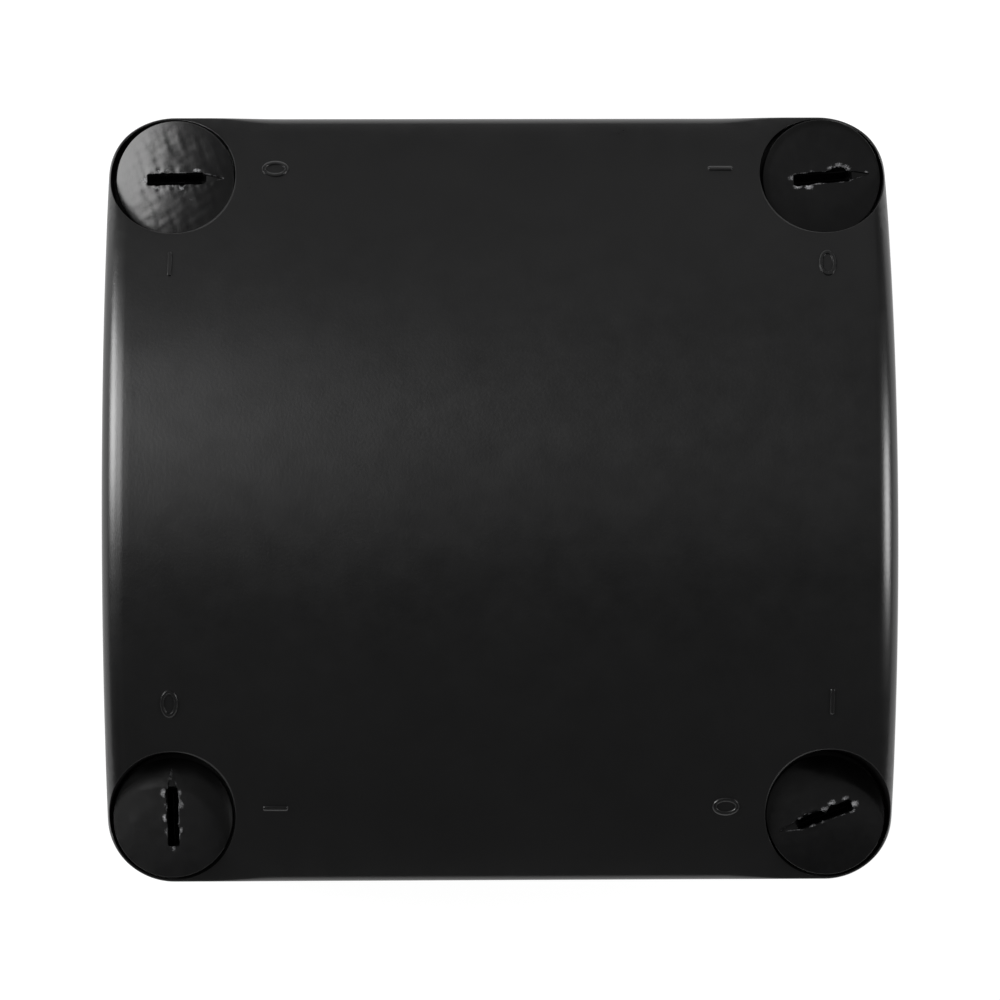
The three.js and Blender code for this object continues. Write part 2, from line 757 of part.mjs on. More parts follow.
// Each lead: which side it serves, where its plug stands, which way its plug points, and the
// points that it passes between the plug and the antenna.
const leads = [
  {
    side: "left",
    plug: [-38, 27],
    heading: 200,
    via: [
      [-42.3, 25.2, leadZ],
      [-44.6, 22, 18.6],
      [-46.4, 17, 22],
      [-47.8, 12, 24.6],
    ],
  },
  {
    side: "right",
    plug: [-12.2, 41.5],
    heading: 0,
    via: [
      [-7, 41.5, leadZ],
      [4, 41.8, 18.4],
      [18, 42.4, 19.2],
      [28, 40, 19.8],
      [35.5, 33, 20],
      [41.5, 25, 20.6],
      [45.6, 18, 22.6],
      [47.8, 12, 24.6],
    ],
  },
];

function plugSolid([x, y], heading) {
  const cap = cylinder(1.6, SEAT + 1.1, SEAT + 2.9, 0, 0, 20);
  const barrel = block(0, 3.2, -0.9, 0.9, SEAT + 1.2, SEAT + 2.8);
  return union(cap, barrel).rotate([0, 0, heading]).translate([x, y, 0]);
}

function leadGeometry({ side, plug, heading, via }) {
  const a = THREE.MathUtils.degToRad(heading);
  const start = [plug[0] + 3.6 * Math.cos(a), plug[1] + 3.6 * Math.sin(a), leadZ];
  const sign = side === "left" ? -1 : 1;
  const feed = [8, 2].map((y) => [sign * leadX, y, antenna.feedZ]);
  const points = [start, ...via, ...feed].map((p) => new THREE.Vector3(...p));
  const curve = new THREE.CatmullRomCurve3(points, false, "centripetal");
  const section = new THREE.Shape();
  section.absarc(0, 0, LEAD_R, 0, Math.PI * 2);
  return new THREE.ExtrudeGeometry(section, {
    extrudePath: curve,
    steps: Math.round(curve.getLength() / (5 * LEAD_R)),
    curveSegments: 4,
    bevelEnabled: false,
  });
}

for (const lead of leads) {
  const { side, plug, heading } = lead;
  const sign = side === "left" ? -1 : 1;
  const { halfY, z0, z1, thickness } = antenna;
  const strip = new THREE.BoxGeometry(thickness, 2 * halfY, z1 - z0);
  const stripMesh = addMesh(node, `antenna_${side}`, strip, materials.board);
  stripMesh.position.set(sign * antenna.x, 0, (z0 + z1) / 2);
  const pad = new THREE.BoxGeometry(antenna.pad, 2 * halfY - 4, z1 - z0 - 3);
  const padMesh = addMesh(node, `antenna_pad_${side}`, pad, materials.foam);
  padMesh.position.set(sign * antenna.padX, 0, (z0 + z1) / 2);

  const stub = cylinder(1.1, SEAT, SEAT + 0.8, ...plug, 20);
  addMesh(boardGroup, `antenna_socket_${side}`, stub, materials.gold);
  addMesh(boardGroup, `antenna_plug_${side}`, plugSolid(plug, heading), materials.gold);
  addMesh(boardGroup, `antenna_lead_${side}`, leadGeometry(lead), materials.coax);
}

export default node;
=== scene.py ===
"""Mesh wifi node: fine meshes, materials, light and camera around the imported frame."""

import json
import math

import bmesh
import bpy
import numpy as np
from mathutils import Matrix, Vector, geometry


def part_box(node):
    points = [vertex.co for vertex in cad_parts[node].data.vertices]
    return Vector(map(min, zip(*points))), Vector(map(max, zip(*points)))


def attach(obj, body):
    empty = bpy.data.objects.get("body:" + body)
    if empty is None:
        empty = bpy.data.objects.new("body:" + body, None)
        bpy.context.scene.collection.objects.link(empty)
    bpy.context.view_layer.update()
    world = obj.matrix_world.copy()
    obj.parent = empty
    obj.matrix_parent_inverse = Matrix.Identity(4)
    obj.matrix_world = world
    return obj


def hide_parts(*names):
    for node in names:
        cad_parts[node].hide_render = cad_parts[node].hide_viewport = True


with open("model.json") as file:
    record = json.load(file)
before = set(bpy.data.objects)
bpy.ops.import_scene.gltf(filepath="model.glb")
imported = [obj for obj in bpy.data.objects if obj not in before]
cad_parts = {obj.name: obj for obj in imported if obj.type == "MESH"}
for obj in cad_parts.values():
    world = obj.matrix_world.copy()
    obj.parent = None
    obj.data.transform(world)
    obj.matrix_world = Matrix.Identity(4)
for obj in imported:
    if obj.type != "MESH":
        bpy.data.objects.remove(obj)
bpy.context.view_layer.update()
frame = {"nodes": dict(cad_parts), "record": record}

# ---------------------------------------------------------------- dimensions, millimetres

MM = 0.001
CORNERS = ("top_left", "bottom_left", "bottom_right", "top_right")


def node_box(name):
    """Lowest and highest corners of a CAD node, in millimetres."""
    low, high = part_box(name)
    return np.array(low) / MM, np.array(high) / MM


PARTING = float(node_box("base_box")[1][2])
CROWN = 66.0
HALF_X = 55.0
HALF_Y = float(node_box("lid")[1][1])
CORNER_R = 9.2
AXIS_X = HALF_X - CORNER_R
AXIS_Y = HALF_Y - CORNER_R
ARCH_RISE = 18.0
ARCH_R = (HALF_Y**2 + ARCH_RISE**2) / (2 * ARCH_RISE)
ROLL_R = 3.2
SKIN = 2.4
GAP = 0.3

SIGNS = {"top_left": (-1, 1), "bottom_left": (-1, -1), "bottom_right": (1, -1), "top_right": (1, 1)}
ZERO_AT = {"top_left": 0, "bottom_left": 90, "bottom_right": 180, "top_right": 270}
TURN = {"top_left": 1, "bottom_left": 2, "bottom_right": 20, "top_right": 95}
FREE_END = 100
LOCKED = -90


def axis_of(corner):
    sx, sy = SIGNS[corner]
    return np.array([sx * AXIS_X, sy * AXIS_Y])


# ---------------------------------------------------------------- plan outlines

# Points along a corner, a side, a bite round a screw and the wall between two bites.
N_ARC = 26
N_SIDE = 54
N_BITE = 44
N_WALL = 40

# Centres of the corners' rounding, and the direction in degrees in which each one starts.
PLAN_CORNERS = [
    (AXIS_X, AXIS_Y, 0),
    (-AXIS_X, AXIS_Y, 90),
    (-AXIS_X, -AXIS_Y, 180),
    (AXIS_X, -AXIS_Y, 270),
]


def unit(degrees):
    a = math.radians(degrees)
    return np.array([math.cos(a), math.sin(a)])


def arc(centre, r, a0, a1, n):
    """n points of an arc in degrees, without its last point."""
    a = np.radians(np.linspace(a0, a1, n, endpoint=False))
    return np.stack([centre[0] + r * np.cos(a), centre[1] + r * np.sin(a)], 1)


def outline(inset):
    """The lid's plan outline drawn in by inset, which may vary from point to point."""
    points, normals = [], []
    for i, (x, y, start) in enumerate(PLAN_CORNERS):
        turn = arc((0, 0), 1, start, start + 90, N_ARC)
        points.append(np.array([x, y]) + CORNER_R * turn)
        normals.append(turn)
        t = np.linspace(0, 1, N_SIDE, endpoint=False)[:, None]
        n = unit(start + 90)
        here, there = np.array([x, y]), np.array(PLAN_CORNERS[(i + 1) % 4][:2])
        points.append(here * (1 - t) + there * t + CORNER_R * n)
        normals.append(np.repeat(n[None], N_SIDE, 0))
    points = np.concatenate(points)
    normals = np.concatenate(normals)
    return points - normals * np.reshape(inset, (-1, 1))


def bitten(offset, inset, bite):
    """An outline with its corners bitten out about the screws, shrunk by a further offset."""
    inset = inset + offset
    bite = bite + offset
    start = math.degrees(math.acos((CORNER_R - inset) / bite))
    bites = [arc((x, y), bite, a - start, a + 90 + start - 360, N_BITE) for x, y, a in PLAN_CORNERS]
    ends = [np.array([x, y]) + bite * unit(a + 90 + start) for x, y, a in PLAN_CORNERS]
    points = []
    for i in range(4):
        points.append(bites[i])
        t = np.linspace(0, 1, N_WALL, endpoint=False)[:, None]
        points.append(ends[i] * (1 - t) + bites[(i + 1) % 4][0] * t)
    return np.concatenate(points)


def circle(centre, r, n=96):
    return arc(centre, r, 0, 360, n)


def at_height(loop, z):
    """A plan loop lifted to a height, which may be a number, a list or a function of the plan."""
    z = z(loop) if callable(z) else np.broadcast_to(z, len(loop))
    return np.column_stack([loop, z])


def rounded_edge(loop_of, z, r, up=1, steps=5):
    """Loops that round the edge from a wall to a face, by a radius that may vary along it."""
    loops = []
    for a in np.radians(np.linspace(0, 90, steps + 1)):
        flat = loop_of(r * (1 - math.cos(a)))
        lifted = at_height(flat, z)
        lifted[:, 2] -= up * r * (1 - math.sin(a))
        loops.append(lifted)
    return loops


# ---------------------------------------------------------------- shells


def inside(points, loop):
    """Which points lie inside a closed plan loop."""
    x, y = points[:, 0][:, None], points[:, 1][:, None]
    x0, y0 = loop[:, 0], loop[:, 1]
    x1, y1 = np.roll(x0, -1), np.roll(y0, -1)
    with np.errstate(divide="ignore", invalid="ignore"):
        crosses = ((y0 > y) != (y1 > y)) & (x < (x1 - x0) * (y - y0) / (y1 - y0) + x0)
    return crosses.sum(1) % 2 == 1


def gap_to(loop, points):
    """How far each point lies in plan from the nearest point of a loop."""
    return np.linalg.norm(points[:, None] - loop[None, :, :2], axis=2).min(1)


def lattice(columns, rows):
    return np.stack(np.meshgrid(columns, rows), -1).reshape(-1, 2)


class Shell:
    """A closed surface made of strips between loops and of sheets inside loops."""

    def __init__(self):
        self.points = []
        self.faces = []

    def add(self, points):
        first = len(self.points)
        self.points.extend(map(tuple, points))
        return first

    def strips(self, loops, closed=False):
        """Walls through successive loops that have the same number of points."""
        pairs = list(zip(loops, loops[1:]))
        if closed:
            pairs.append((loops[-1], loops[0]))
        for low, high in pairs:
            n = len(low)
            a, b = self.add(low), self.add(high)
            for i in range(n):
                j = (i + 1) % n
                self.faces.append((a + i, a + j, b + j, b + i))

    def wall(self, loop, start, end):
        """A straight wall on a plan loop, from one height to another."""
        self.strips([at_height(loop, start), at_height(loop, end)])

    def sheet(self, outer, holes=(), inner=None, raised=()):
        """A surface inside outer and outside the holes, through the inner points and loops."""
        loops = [outer, *holes, *raised]
        points, edges = [], []
        for loop in loops:
            first = len(points)
            n = len(loop)
            points.extend(loop)
            edges.extend((first + i, first + (i + 1) % n) for i in range(n))
        if inner is not None:
            points.extend(inner)
        points = np.array(points)
        flat = [Vector((p[0], p[1])) for p in points]
        found = geometry.delaunay_2d_cdt(flat, edges, [], 1, 1e-6, True)
        co2, tris, origin = found[0], found[2], found[3]
        plan = np.array([(v.x, v.y) for v in co2])
        heights = np.array([points[o[0]][2] if o else np.nan for o in origin])
        tris = np.array([t for t in tris if len(t) == 3])
        middle = plan[tris].mean(1)
        keep = inside(middle, outer[:, :2])
        for hole in holes:
            keep &= ~inside(middle, hole[:, :2])
        first = self.add(np.column_stack([plan, heights]))
        self.faces.extend(tuple(first + i for i in t) for t in tris[keep])

    def mesh(self, name, weld=0.002):
        bm = bmesh.new()
        verts = [bm.verts.new(Vector(p) * MM) for p in self.points]
        for face in self.faces:
            try:
                bm.faces.new([verts[i] for i in face])
            except ValueError:
                continue
        bmesh.ops.remove_doubles(bm, verts=bm.verts, dist=weld * MM)
        loose = [v for v in bm.verts if not v.link_faces]
        bmesh.ops.delete(bm, geom=loose, context="VERTS")
        return finished_mesh(bm, name)


def finished_mesh(bm, name, sharp_degrees=32):
    """A mesh from a bmesh, with faces out, smooth faces and sharp edges."""
    bmesh.ops.recalc_face_normals(bm, faces=bm.faces)
    open_edges = sum(1 for e in bm.edges if len(e.link_faces) != 2)
    if open_edges:
        print("OPEN EDGES", name, open_edges)
    for face in bm.faces:
        face.smooth = True
    for edge in bm.edges:
        if len(edge.link_faces) == 2:
            edge.smooth = edge.calc_face_angle(0) < math.radians(sharp_degrees)
    mesh = bpy.data.meshes.new(name)
    bm.to_mesh(mesh)
    bm.free()
    return mesh


def linked(name, data):
    """A new object for some data, in the scene."""
    obj = bpy.data.objects.new(name, data)
    bpy.context.scene.collection.objects.link(obj)
    return obj


def piece(name, mesh, body, material, replaced=()):
    """A mesh as a named piece that rides on a body."""
    obj = linked(name, mesh)
    mesh.materials.clear()
    mesh.materials.append(material)
    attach(obj, body)
    if replaced:
        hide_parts(*replaced)


def lathe(profile, segments=96, closed=False):
    """A profile of (radius, height) pairs turned about Z, from axis to axis or as a closed ring."""
    bm = bmesh.new()
    rings = []
    for r, h in profile:
        if r < 1e-6:
            rings.append([bm.verts.new((0, 0, h * MM))])
            continue
        ring = circle((0, 0), r, segments)
        rings.append([bm.verts.new((x * MM, y * MM, h * MM)) for x, y in ring])
    for low, high in zip(rings, rings[1:] + (rings[:1] if closed else [])):
        for i in range(segments):
            j = (i + 1) % segments
            corners = [low[i % len(low)], low[j % len(low)], high[j % len(high)], high[i % len(high)]]
            unique = list(dict.fromkeys(corners))
            if len(unique) >= 3:
                bm.faces.new(unique)
    return bm


def add_turned(bm, profile, matrix, segments=96, closed=False):
    """Adds a turned profile to a bmesh, placed by a matrix."""
    part = lathe(profile, segments, closed)
    bmesh.ops.transform(part, matrix=matrix, verts=part.verts)
    mesh = bpy.data.meshes.new("turned")
    part.to_mesh(mesh)
    part.free()
    bm.from_mesh(mesh)
    bpy.data.meshes.remove(mesh)


def cut_away(mesh, cutter, name):
    """mesh minus cutter, as a new mesh."""
    target = linked("cut_target", mesh)
    tool = linked("cut_tool", cutter)
    boolean = target.modifiers.new("cut", "BOOLEAN")
    boolean.operation = "DIFFERENCE"
    boolean.solver = "EXACT"
    boolean.object = tool
    graph = bpy.context.evaluated_depsgraph_get()
    result = bpy.data.meshes.new_from_object(target.evaluated_get(graph))
    bpy.data.objects.remove(target)
    bpy.data.objects.remove(tool)
    bm = bmesh.new()
    bm.from_mesh(result)
    bmesh.ops.remove_doubles(bm, verts=bm.verts, dist=0.0005 * MM)
    return finished_mesh(bm, name)


# ---------------------------------------------------------------- lid


def arch(y, radius=ARCH_R):
    return CROWN - ARCH_R + np.sqrt(radius**2 - y**2)


def lid_top(plan):
    """Height of the lid's top: an arch whose left and right edges roll over."""
    x, y = plan[:, 0], plan[:, 1]
    d = np.clip(HALF_X - np.abs(x), 0, ROLL_R)
    return arch(y) - ROLL_R + np.sqrt(ROLL_R**2 - (ROLL_R - d) ** 2)


def lid_ceiling(plan):
    return arch(plan[:, 1], ARCH_R - SKIN)


N_WELL = 120
WELL_R = 8.85
WELL_FLOOR = 45.2
BORE_R = 3.7
MARK_DISTANCE = 14.4
MARK_RAISE = 1.0
MARK_HEIGHT = 0.25
EDGE_R = 0.25
GROOVE_TOP = 42.6
TONGUE_BOTTOM = 37.5
ROOM_STEP = 44.6
# Outlines under the lid: how far in from its side, and how wide round each screw.
GROOVE_OUTER = (1.8, 7.6)
GROOVE_INNER = (3.4, 9.2)
TONGUE_OUTER = (3.7, 9.5)
TONGUE_INNER = (4.7, 10.5)
ROOM = (2.6, 10.2)


def smoothstep(a, b, x):
    t = np.clip((x - a) / (b - a), 0, 1)
    return t * t * (3 - 2 * t)


def top_edge_radius():
    """The rounding at the top of the skirt: fine beside the wells, full along the straights."""
    plan = outline(0)
    off_wells = 1 - smoothstep(AXIS_X - 15, AXIS_X - 5, np.abs(plan[:, 0]))
    upper = (plan[:, 1] > AXIS_Y) * off_wells
    lower = (plan[:, 1] < -AXIS_Y) * off_wells
    side = 1 - smoothstep(AXIS_Y - 12, AXIS_Y - 5, np.abs(plan[:, 1]))
    return 0.14 + 0.95 * upper + 0.6 * lower + 0.14 * side


def well_rim(corner):
    """Loops round a well's mouth, from its wall to the lid's top, finer towards the outer edge."""
    ray = circle((0, 0), 1, N_WELL)
    sx, sy = SIGNS[corner]
    outward = np.maximum(sx * ray[:, 0], sy * ray[:, 1])
    radius = 0.1 + 0.42 * smoothstep(-0.15, 0.7, -outward)
    return rounded_edge(lambda o: axis_of(corner) + ray * (WELL_R + o)[:, None], lid_top, radius)


def ellipse(a, b, n=48):
    t = np.radians(np.linspace(0, 360, n, endpoint=False))
    return np.stack([a * np.cos(t), b * np.sin(t)], 1)


def stadium(half_length, r, n=10):
    """A bar with round ends, along x."""
    c = half_length - r
    right = arc((c, 0), r, -90, 90, n)
    left = arc((-c, 0), r, 90, 270, n)
    return np.concatenate([right, left])


def mark_loops():
    """Loops of the raised 0 and I beside every screw, each with its lift over the lid."""
    found = []
    profile = [(0, 0), (0.07, 0.6), (0.17, 1)]  # distance in from the foot, share of the height
    for corner in CORNERS:
        for kind, degrees in (("ring", ZERO_AT[corner]), ("bar", ZERO_AT[corner] + LOCKED)):
            a = math.radians(degrees)
            turn = np.array([[math.cos(a), math.sin(a)], [-math.sin(a), math.cos(a)]])
            centre = axis_of(corner) + MARK_DISTANCE * turn[0] + np.array([0, MARK_RAISE])
            for inset, share in profile:
                if kind == "bar":
                    shapes = [stadium(1.82 - inset, 0.37 - inset)]
                else:
                    shapes = [ellipse(1.92 - inset, 1.27 - inset), ellipse(1.28 + inset, 0.63 + inset)]
                for shape in shapes:
                    plan = shape @ turn + centre
                    found.append(at_height(plan, lid_top(plan) + share * MARK_HEIGHT))
    return found


def lid_points(outer, rims, marks):
    """Points inside the lid's top sheet, dense where it curves, clear of wells and marks."""
    rows = np.arange(-HALF_Y + 1.0, HALF_Y - 0.9, 1.4)
    columns = np.arange(-48, 48.1, 2.0)
    grid = [lattice(columns, rows)]
    beside = np.linspace(-AXIS_Y, AXIS_Y, N_SIDE + 1)  # the places of the outline's own points
    for d in (0.42, 0.55, 0.75, 1.0, 1.3, 1.65, 2.05, 2.5, 2.85, 3.2, 4.2, 5.6):
        for sign in (-1, 1):
            grid.append(np.stack([sign * (HALF_X - d) + 0 * beside, beside], 1))
    for corner in CORNERS:
        for r, n in ((9.6, 84), (10.2, 72), (11.2, 56)):
            grid.append(circle(axis_of(corner), r, n))
    plan = np.concatenate(grid)
    keep = inside(plan, outer[:, :2])
    for loop in (outer, *rims):
        keep &= gap_to(loop, plan) > 0.12
    for rim in rims:
        keep &= ~inside(plan, rim[:, :2])
    for mark in marks:
        centre = mark[:, :2].mean(0)
        keep &= np.linalg.norm(plan - centre, axis=1) > 2.3
    plan = plan[keep]
    return at_height(plan, lid_top)


def lid_mesh():
    shell = Shell()
    bottom = PARTING + GAP
    bore = {c: circle(axis_of(c), BORE_R, 48) for c in CORNERS}

    # outside: bottom edge, skirt, top edge, top
    low_edge = rounded_edge(outline, bottom, EDGE_R, up=-1)[::-1]
    high_edge = rounded_edge(outline, lid_top, top_edge_radius(), steps=6)
    shell.strips([*low_edge, *high_edge])
    rims = []
    for c in CORNERS:
        rim = well_rim(c)
        foot = at_height(circle(axis_of(c), WELL_R, N_WELL), WELL_FLOOR)
        shell.strips([foot, *rim])
        shell.sheet(foot, [at_height(bore[c], WELL_FLOOR)])
        shell.wall(bore[c], bottom, WELL_FLOOR)
        rims.append(rim[-1])
    marks = mark_loops()
    shell.sheet(high_edge[-1], rims, lid_points(high_edge[-1], rims, marks), marks)

    # underside: rim face, gasket groove, tongue, step and ceiling
    groove_outer = bitten(0, *GROOVE_OUTER)
    groove_inner = bitten(0, *GROOVE_INNER)
    tongue_outer = bitten(0, *TONGUE_OUTER)
    tongue_inner = bitten(0, *TONGUE_INNER)
    room = bitten(0, *ROOM)
    shell.sheet(
        low_edge[0],
        [at_height(groove_outer, bottom), *(at_height(bore[c], bottom) for c in CORNERS)],
    )
    shell.wall(groove_outer, bottom, GROOVE_TOP)
    shell.sheet(at_height(groove_outer, GROOVE_TOP), [at_height(groove_inner, GROOVE_TOP)])
    shell.wall(groove_inner, GROOVE_TOP, bottom)
    shell.sheet(at_height(groove_inner, bottom), [at_height(tongue_outer, bottom)])
    tongue_edge = rounded_edge(
        lambda o: bitten(o, *TONGUE_OUTER), TONGUE_BOTTOM, EDGE_R, up=-1, steps=3
    )
    shell.strips([at_height(tongue_outer, bottom), *tongue_edge])
    shell.sheet(tongue_edge[-1], [at_height(tongue_inner, TONGUE_BOTTOM)])
    shell.wall(tongue_inner, TONGUE_BOTTOM, ROOM_STEP)
    shell.sheet(at_height(room, ROOM_STEP), [at_height(tongue_inner, ROOM_STEP)])
    shell.wall(room, ROOM_STEP, lid_ceiling)
    grid = lattice(np.arange(-48, 48.1, 4.0), np.arange(-48, 48.1, 2.0))
    grid = grid[inside(grid, room)]
    grid = grid[gap_to(room, grid) > 0.5]
    shell.sheet(at_height(room, lid_ceiling), [], at_height(grid, lid_ceiling))
    return shell.mesh("lid_shell")


# ---------------------------------------------------------------- base

BASE_TOP_INSET = 0.4
BASE_BACK_INSET = 1.4
CAVITY_INSET = 3.4
POST_R = 9.2
FLOOR = 2.8
SOCKET_TOP = 34.0
SOCKET_FLOOR = 24.0
CHAMBER_R = 6.8
WAY_R = 6.6
LUG_ROOM = 36
WALL_HOLE_R = 2.3
BOSSES = [(-41.5, -15.5), (41.5, -15.5), (-29.5, 42.5), (29.5, 42.5)]
BOSS_TOP = 12.8
BOSS_R = 3.2
BOSS_HOLE_R = 1.5
BOSS_HOLE_FLOOR = 4.8
RECESS_DEPTH = 0.8


def base_inset(z):
    return BASE_BACK_INSET + (BASE_TOP_INSET - BASE_BACK_INSET) * z / PARTING


def keyhole(corner):
    """The bore for the screw's shank, opened out over the sector where its lug passes."""
    start = ZERO_AT[corner] - LUG_ROOM
    end = ZERO_AT[corner] + FREE_END + LUG_ROOM
    centre = axis_of(corner)
    way = arc(centre, WAY_R, start, end, 60)
    bore = arc(centre, BORE_R, end, start + 360, 40)
    ends = [centre + WAY_R * unit(end)], [centre + BORE_R * unit(start)]
    return np.concatenate([way, ends[0], bore, ends[1]])


def base_mesh():
    shell = Shell()
    cavity = lambda o: bitten(o, CAVITY_INSET, POST_R)
    back_edge = rounded_edge(lambda o: outline(BASE_BACK_INSET + o), 0.0, 0.6, up=-1)[::-1]
    walls = [at_height(outline(base_inset(z)), z) for z in (13.0, 26.0)]
    top_edge = rounded_edge(lambda o: outline(BASE_TOP_INSET + o), PARTING, EDGE_R, steps=3)
    shell.strips([*back_edge, *walls, *top_edge])
    lip = rounded_edge(lambda o: cavity(-o), PARTING, 0.2, steps=3)
    keyholes = {c: keyhole(c) for c in CORNERS}
    shell.sheet(top_edge[-1], [lip[-1], *(at_height(k, PARTING) for k in keyholes.values())])
    foot = rounded_edge(cavity, FLOOR, 1.2, up=-1)
    shell.strips([*lip[::-1], *foot])
    bosses = [at_height(circle(b, BOSS_R, 48), FLOOR) for b in BOSSES]
    shell.sheet(foot[-1], bosses)
    for b, boss in zip(BOSSES, bosses):
        crown = rounded_edge(lambda o: circle(b, BOSS_R - o, 48), BOSS_TOP, 0.3, steps=3)
        shell.strips([boss, *crown])
        hole = circle(b, BOSS_HOLE_R, 32)
        shell.sheet(crown[-1], [at_height(hole, BOSS_TOP)])
        shell.wall(hole, BOSS_TOP, BOSS_HOLE_FLOOR)
        shell.sheet(at_height(hole, BOSS_HOLE_FLOOR))
    back_holes = []
    for c in CORNERS:
        centre = axis_of(c)
        chamber = circle(centre, CHAMBER_R, 72)
        hole = circle(centre, WALL_HOLE_R, 40)
        shell.wall(keyholes[c], PARTING, SOCKET_TOP)
        shell.sheet(at_height(chamber, SOCKET_TOP), [at_height(keyholes[c], SOCKET_TOP)])
        shell.wall(chamber, SOCKET_TOP, SOCKET_FLOOR)
        shell.sheet(at_height(chamber, SOCKET_FLOOR), [at_height(hole, SOCKET_FLOOR)])
        mouth = rounded_edge(
            lambda o: circle(centre, WALL_HOLE_R + o, 40), 0.0, 0.3, up=-1, steps=3
        )
        shell.strips([at_height(hole, SOCKET_FLOOR), *mouth])
        back_holes.append(mouth[-1])
    recess = rectangle(HALF_X - 15, HALF_Y - 15, 6)
    recess_foot = rectangle(HALF_X - 15.5, HALF_Y - 15.5, 5.5)
    shell.sheet(back_edge[0], [*back_holes, at_height(recess, 0.0)])
    shell.strips([at_height(recess, 0.0), at_height(recess_foot, RECESS_DEPTH)])
    shell.sheet(at_height(recess_foot, RECESS_DEPTH))
    return cut_away(shell.mesh("base_blank"), base_cutters(), "base_shell")


def rectangle(half_x, half_y, r, n=10):
    x, y = half_x - r, half_y - r
    corners = [(x, y, 0), (-x, y, 90), (-x, -y, 180), (x, -y, 270)]
    return np.concatenate([arc((cx, cy), r, a, a + 90, n) for cx, cy, a in corners])


ENTRY_Z = 21.0
SEALS = {
    "ethernet_entry_seal": {"x": -21.0, "hole": 12.6, "flange": 14.9, "inner": 13.6, "cup": 10.8},
    "power_entry_seal": {"x": 10.0, "hole": 10.1, "flange": 12.2, "inner": 11.1, "cup": 8.4},
}
VENT = {"x": 31.0, "hole": 4.2, "flange": 6.2}
SEAT = HALF_Y - 1.7


def faced(wall, along, z):
    """Turns +Z into the outward direction of a wall, placed at a distance along it."""
    turn = {"south": 180, "north": 0, "west": 90, "east": -90}[wall]
    side = Vector((-along if wall == "south" else along, 0, z)) * MM
    return (
        Matrix.Rotation(math.radians(turn), 4, "Z")
        @ Matrix.Translation(side)
        @ Matrix.Rotation(math.radians(-90), 4, "X")
    )


def base_cutters():
    """Everything cut into the box's walls from outside, as one mesh."""
    bm = bmesh.new()
    inner, outer = HALF_Y - CAVITY_INSET - 1, HALF_Y + 1
    for seal in [*SEALS.values(), VENT]:
        seat_r, hole = seal["flange"] + GAP, seal["hole"]
        profile = [(0, inner), (hole, inner), (hole, SEAT), (seat_r, SEAT), (seat_r, outer), (0, outer)]
        add_turned(bm, profile, faced("south", seal["x"], ENTRY_Z))
    for wall, half in (("north", HALF_Y), ("west", HALF_X), ("east", HALF_X)):
        face = half - 0.9
        ring = [(12.45, face - 0.5), (13.15, face - 0.5), (13.35, face + 2), (12.25, face + 2)]
        add_turned(bm, ring, faced(wall, 0, ENTRY_Z), closed=True)
    return finished_mesh(bm, "base_cutter")


# ---------------------------------------------------------------- screws

HEAD_R = 8.32
HEAD_TOP = 51.5
HEAD_BOTTOM = 45.5
SLOT_HALF = 4.0
SLOT_WIDTH = 1.6
SLOT_DEPTH = 3.2
SLOT_LEDGE_DEPTH = 0.75  # below the arrow's floor, where the slot turns V-shaped
ARROW_TIP = 6.75
ARROW_HALF = 0.62
ARROW_DEPTH = 0.55
LEDGE = 0.03
CHAMFER = 0.03
SHANK_R = 3.4
SHANK_FOOT = 26.5

# How each loose head sits: dome height, tip in degrees towards the left, height of its ripples,
# and how far it has slipped off the middle of its well.
HEADS = {
    "top_left": (0.5, 2.6, 0.0065, (0.2, -0.12)),
    "bottom_left": (0.16, -0.2, 0.0015, (-0.05, -0.2)),
    "bottom_right": (0.46, -0.4, 0.002, (-0.15, -0.18)),
    "top_right": (0.16, -0.6, 0.002, (0.12, -0.05)),
}
# The part of each head left lit: centre from the head's own, radius and soft edge.
# Outside it shade from the well's wall is painted on as near-black, and the lower heads are worn down a
# little.
LIT_DISC = {
    "top_left": (0, -0.3, 8.6, 0.3),
    "bottom_left": (-1.6, -3.9, 8.3, 1.8),
    "bottom_right": (0.6, -3.5, 8.0, 1.8),
    "top_right": (0.3, -0.3, 7.85, 0.35),
}
WORN_SLOPE = {"top_left": 0, "bottom_left": 0.15, "bottom_right": 0.15, "top_right": 0}

# Chips in the slot's edge, in the screw's own frame with its arrow along +X:
# place along the slot, side (+1 left of the arrow's direction), half length, reach.
CHIPS = {
    "top_left": [
        (0.95, -1, 0.42, 0.42), (-1.7, 1, 0.5, 0.14), (3.0, 1, 0.5, 0.18), (-2.6, -1, 0.5, 0.14),
    ],
    "bottom_left": [
        (3.3, 1, 0.5, 0.34), (0.1, 1, 0.5, 0.22), (2.4, -1, 0.9, 0.16), (-1.9, -1, 0.5, 0.16),
    ],
    "bottom_right": [
        (-1.3, -1, 0.5, 0.26), (1.4, -1, 0.6, 0.22), (2.7, -1, 0.5, 0.24), (-3.4, -1, 0.5, 0.14),
    ],
    "top_right": [
        (2.5, 1, 1.9, 0.68), (-1.9, -1, 0.5, 0.2), (-3.3, -1, 0.6, 0.16), (-1.3, 1, 0.6, 0.1),
    ],
}
# Plastic pushed into the slot's mouth by slipped blades: the same numbers, reaching inwards.
BURRS = {
    "top_left": [(2.2, -1, 0.5, 0.1)],
    "bottom_left": [(-1.0, -1, 0.5, 0.16), (1.6, 1, 0.5, 0.12)],
    "bottom_right": [
        (-0.1, -1, 0.7, 0.62), (0.7, 1, 0.6, 0.26), (2.2, 1, 0.9, 0.24), (3.6, -1, 0.5, 0.3),
    ],
    "top_right": [(-0.4, -1, 1.2, 0.14), (3.7, 1, 0.5, 0.45)],
}
